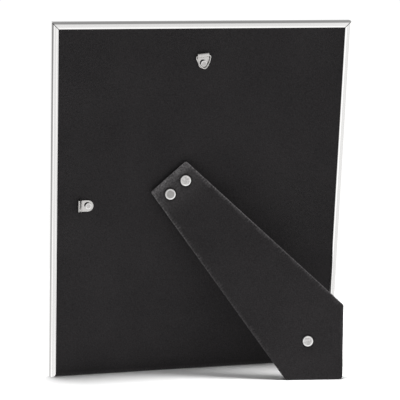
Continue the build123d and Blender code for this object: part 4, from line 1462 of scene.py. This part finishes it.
@dataclass
class Studio:
    """White floor, soft light and the camera of the photograph.

    Attributes:
        eye: Place of the camera in metres.
        right: Direction to the right of the picture.
        up: Direction to the top of the picture.
        lens: Focal length in millimetres.
        sensor: Width of the camera's sensor in millimetres.
        floor: Rear, front, left and right edge of the floor in metres.
        sunk: How far the floor lies below the object's foot, in metres.
        surround: Brightness of the room for shares from the right of the picture, 0, to its left, 1.
        backdrop: Brightness of the room behind the object, for shares from straight down to straight up.
        behind: Directions along y between which the room passes into the backdrop.
        ceiling: Share of the room's brightness overhead.
        ceiling_fade: Directions along z between which that share is reached.
        carpet: Brightness of the room's own floor, which the metal mirrors low down.
        carpet_fade: Directions along z between which it sets in.
        white: Brightness of the plain white that the camera sees round the object.
        lights: Soft lights over the back and before the front.
    """

    eye: tuple[float, float, float] = (0.3136, 1.25195, 0.30656)
    right: tuple[float, float, float] = (-0.9702, 0.24231, -0.00497)
    up: tuple[float, float, float] = (-0.0336, -0.11418, 0.99289)
    lens: float = 138.91
    sensor: float = 36.0
    floor: tuple[float, float, float, float] = (-0.6, 0.34, -0.28, 0.25)
    sunk: float = 0.0002
    surround: tuple[tuple[float, float], ...] = (
        (0.0, 1.25), (0.09, 1.25), (0.13, 0.78), (0.22, 0.78), (0.28, 1.35), (0.35, 0.88), (0.42, 0.88),
        (0.47, 1.3), (0.66, 1.3), (0.73, 0.3), (1.0, 0.3))
    backdrop: tuple[tuple[float, float], ...] = (
        (0.0, 1.0), (0.5, 1.0), (0.65, 0.4), (1.0, 0.4))
    behind: tuple[float, float] = (-0.5, -0.75)
    ceiling: float = 0.36
    ceiling_fade: tuple[float, float] = (0.0, 0.6)
    carpet: float = 1.2
    carpet_fade: tuple[float, float] = (-0.1, -0.6)
    white: float = 1.05
    lights: tuple[Softbox, ...] = (
        Softbox("overhead_softbox", (0.03, 0.09, 1.5), 0.0, (0.5, 0.26), 33.0),
        Softbox("front_softbox", (-0.1, -1.1, 0.75), 60.0, (0.7, 0.5), 3.0))

    def build(self) -> None:
        """Set up the floor, the light and the camera."""
        back, front, left, right = self.floor
        corners = ((left, back), (right, back), (right, front), (left, front))
        points = np.array([(x, y, -self.sunk) for x, y in corners])
        floor = piece("studio_floor", points, [(0, 1, 2, 3)], WHITE_FLOOR.make())
        floor.visible_glossy = False
        for light in self.lights:
            light.hang()
        self.room()
        camera = bpy.data.cameras.new("photo_camera")
        camera.lens = self.lens
        camera.sensor_width = self.sensor
        view = put("photo_camera", camera)
        x, y = Vector(self.right).normalized(), Vector(self.up).normalized()
        turn = Matrix((x, y, x.cross(y))).transposed().to_4x4()
        view.matrix_world = Matrix.Translation(self.eye) @ turn
        bpy.context.scene.camera = view
        bpy.context.scene.view_settings.view_transform = "Standard"

    def room(self) -> None:
        """Surround the set with a room: lit panels round the camera, grey sides and a white backdrop."""
        world = bpy.data.worlds.new("studio_room")
        world.use_nodes = True
        tree = world.node_tree
        way = add(tree, "ShaderNodeTexCoord").outputs["Generated"]
        axes = add(tree, "ShaderNodeSeparateXYZ", {0: way})
        wall = self.graph(tree, axes.outputs["X"], self.surround)
        above = add(tree, "ShaderNodeMapRange", {
            "Value": axes.outputs["Z"], "From Min": self.ceiling_fade[0], "From Max": self.ceiling_fade[1],
            "To Min": 1.0, "To Max": self.ceiling})
        below = add(tree, "ShaderNodeMapRange", {
            "Value": axes.outputs["Z"], "From Min": self.carpet_fade[0], "From Max": self.carpet_fade[1],
            "To Min": 0.0, "To Max": self.carpet})
        lower = add(tree, "ShaderNodeMath", {
            0: wall, 1: below.outputs["Result"]}, operation="MAXIMUM")
        dimmed = add(tree, "ShaderNodeMath", {
            0: lower.outputs["Value"], 1: above.outputs["Result"]}, operation="MULTIPLY")
        behind = add(tree, "ShaderNodeMapRange", {
            "Value": axes.outputs["Y"], "From Min": self.behind[0], "From Max": self.behind[1]})
        level = add(tree, "ShaderNodeMix", {
            0: behind.outputs["Result"], 2: dimmed.outputs["Value"],
            3: self.graph(tree, axes.outputs["Z"], self.backdrop)}, data_type="FLOAT")
        seen = add(tree, "ShaderNodeLightPath").outputs["Is Camera Ray"]
        strength = add(tree, "ShaderNodeMix", {
            0: seen, 2: level.outputs[0], 3: self.white}, data_type="FLOAT")
        tree.links.new(strength.outputs[0], tree.nodes["Background"].inputs["Strength"])
        tree.nodes["Background"].inputs["Color"].default_value = (1.0, 1.0, 1.0, 1.0)
        bpy.context.scene.world = world

    @staticmethod
    def graph(tree: Tree, along: Socket, stops: tuple) -> Socket:
        """Read a brightness from a graph over one direction of the room.

        Args:
            tree: Node tree of the room.
            along: Share of the direction, from -1 to 1.
            stops: Places from 0 to 1 and the brightness at each.

        Returns:
            The brightness.
        """
        share = add(tree, "ShaderNodeMapRange", {"Value": along, "From Min": -1.0, "From Max": 1.0})
        level = add(tree, "ShaderNodeFloatCurve", {"Value": share.outputs["Result"]})
        level.mapping.clip_max_y = 2.0
        curve = level.mapping.curves[0]
        for place, bright in stops[1:-1]:
            curve.points.new(place, bright)
        curve.points[0].location = stops[0]
        curve.points[-1].location = stops[-1]
        level.mapping.update()
        return level.outputs["Value"]


def main() -> None:
    """Build every sub-assembly and report its pieces."""
    logging.basicConfig(level=logging.INFO, format="%(name)s %(message)s")
    layout = Layout.from_frame()
    velvet = BLACK_VELVET.make()
    nickel = BRIGHT_NICKEL.make()
    rivet = SATIN_NICKEL.make()
    rails = MetalFrame(layout.back)
    rails.dress()
    rails.glaze()
    back = VelvetBack(layout.back, velvet)
    back.build()
    back.dress()
    strut = EaselStrut(layout.strut, velvet)
    cover = strut.build()
    strut.dress()
    PileFringe().build("strut_velvet_fibres", cover, Body.STRUT)
    dress(ZINC.make(), "hinge_board_leaf", "hinge_strut_leaf", "hinge_pin")
    small = RivetKind(head=3.0, height=0.7, shank=1.5, tail=2.2)
    strap = RivetKind(head=2.6, height=0.9, shank=1.2, tail=1.8)
    large = RivetKind(head=4.5, height=1.4, shank=1.8, tail=2.8)
    RivetSet("back_rivet_set", Body.BACK, layout.folded, {
        "hinge_board_rivets": small, "stay_rivet": small,
        "top_hanger_rivet": strap, "side_hanger_rivet": strap}).build(rivet)
    RivetSet("strut_rivet_set", Body.STRUT, layout.strut, {
        "strut_rivets": large, "foot_rivet": large}, seed=98).build(rivet)
    StayRibbon(layout.folded, layout.strut).build(BLACK_SATIN.make())
    for body, place in ((Body.TOP_RING, layout.top_ring), (Body.SIDE_RING, layout.side_ring)):
        RingHanger(body, place).build(nickel)
    Studio().build()


if __name__ == "__main__":
    main()
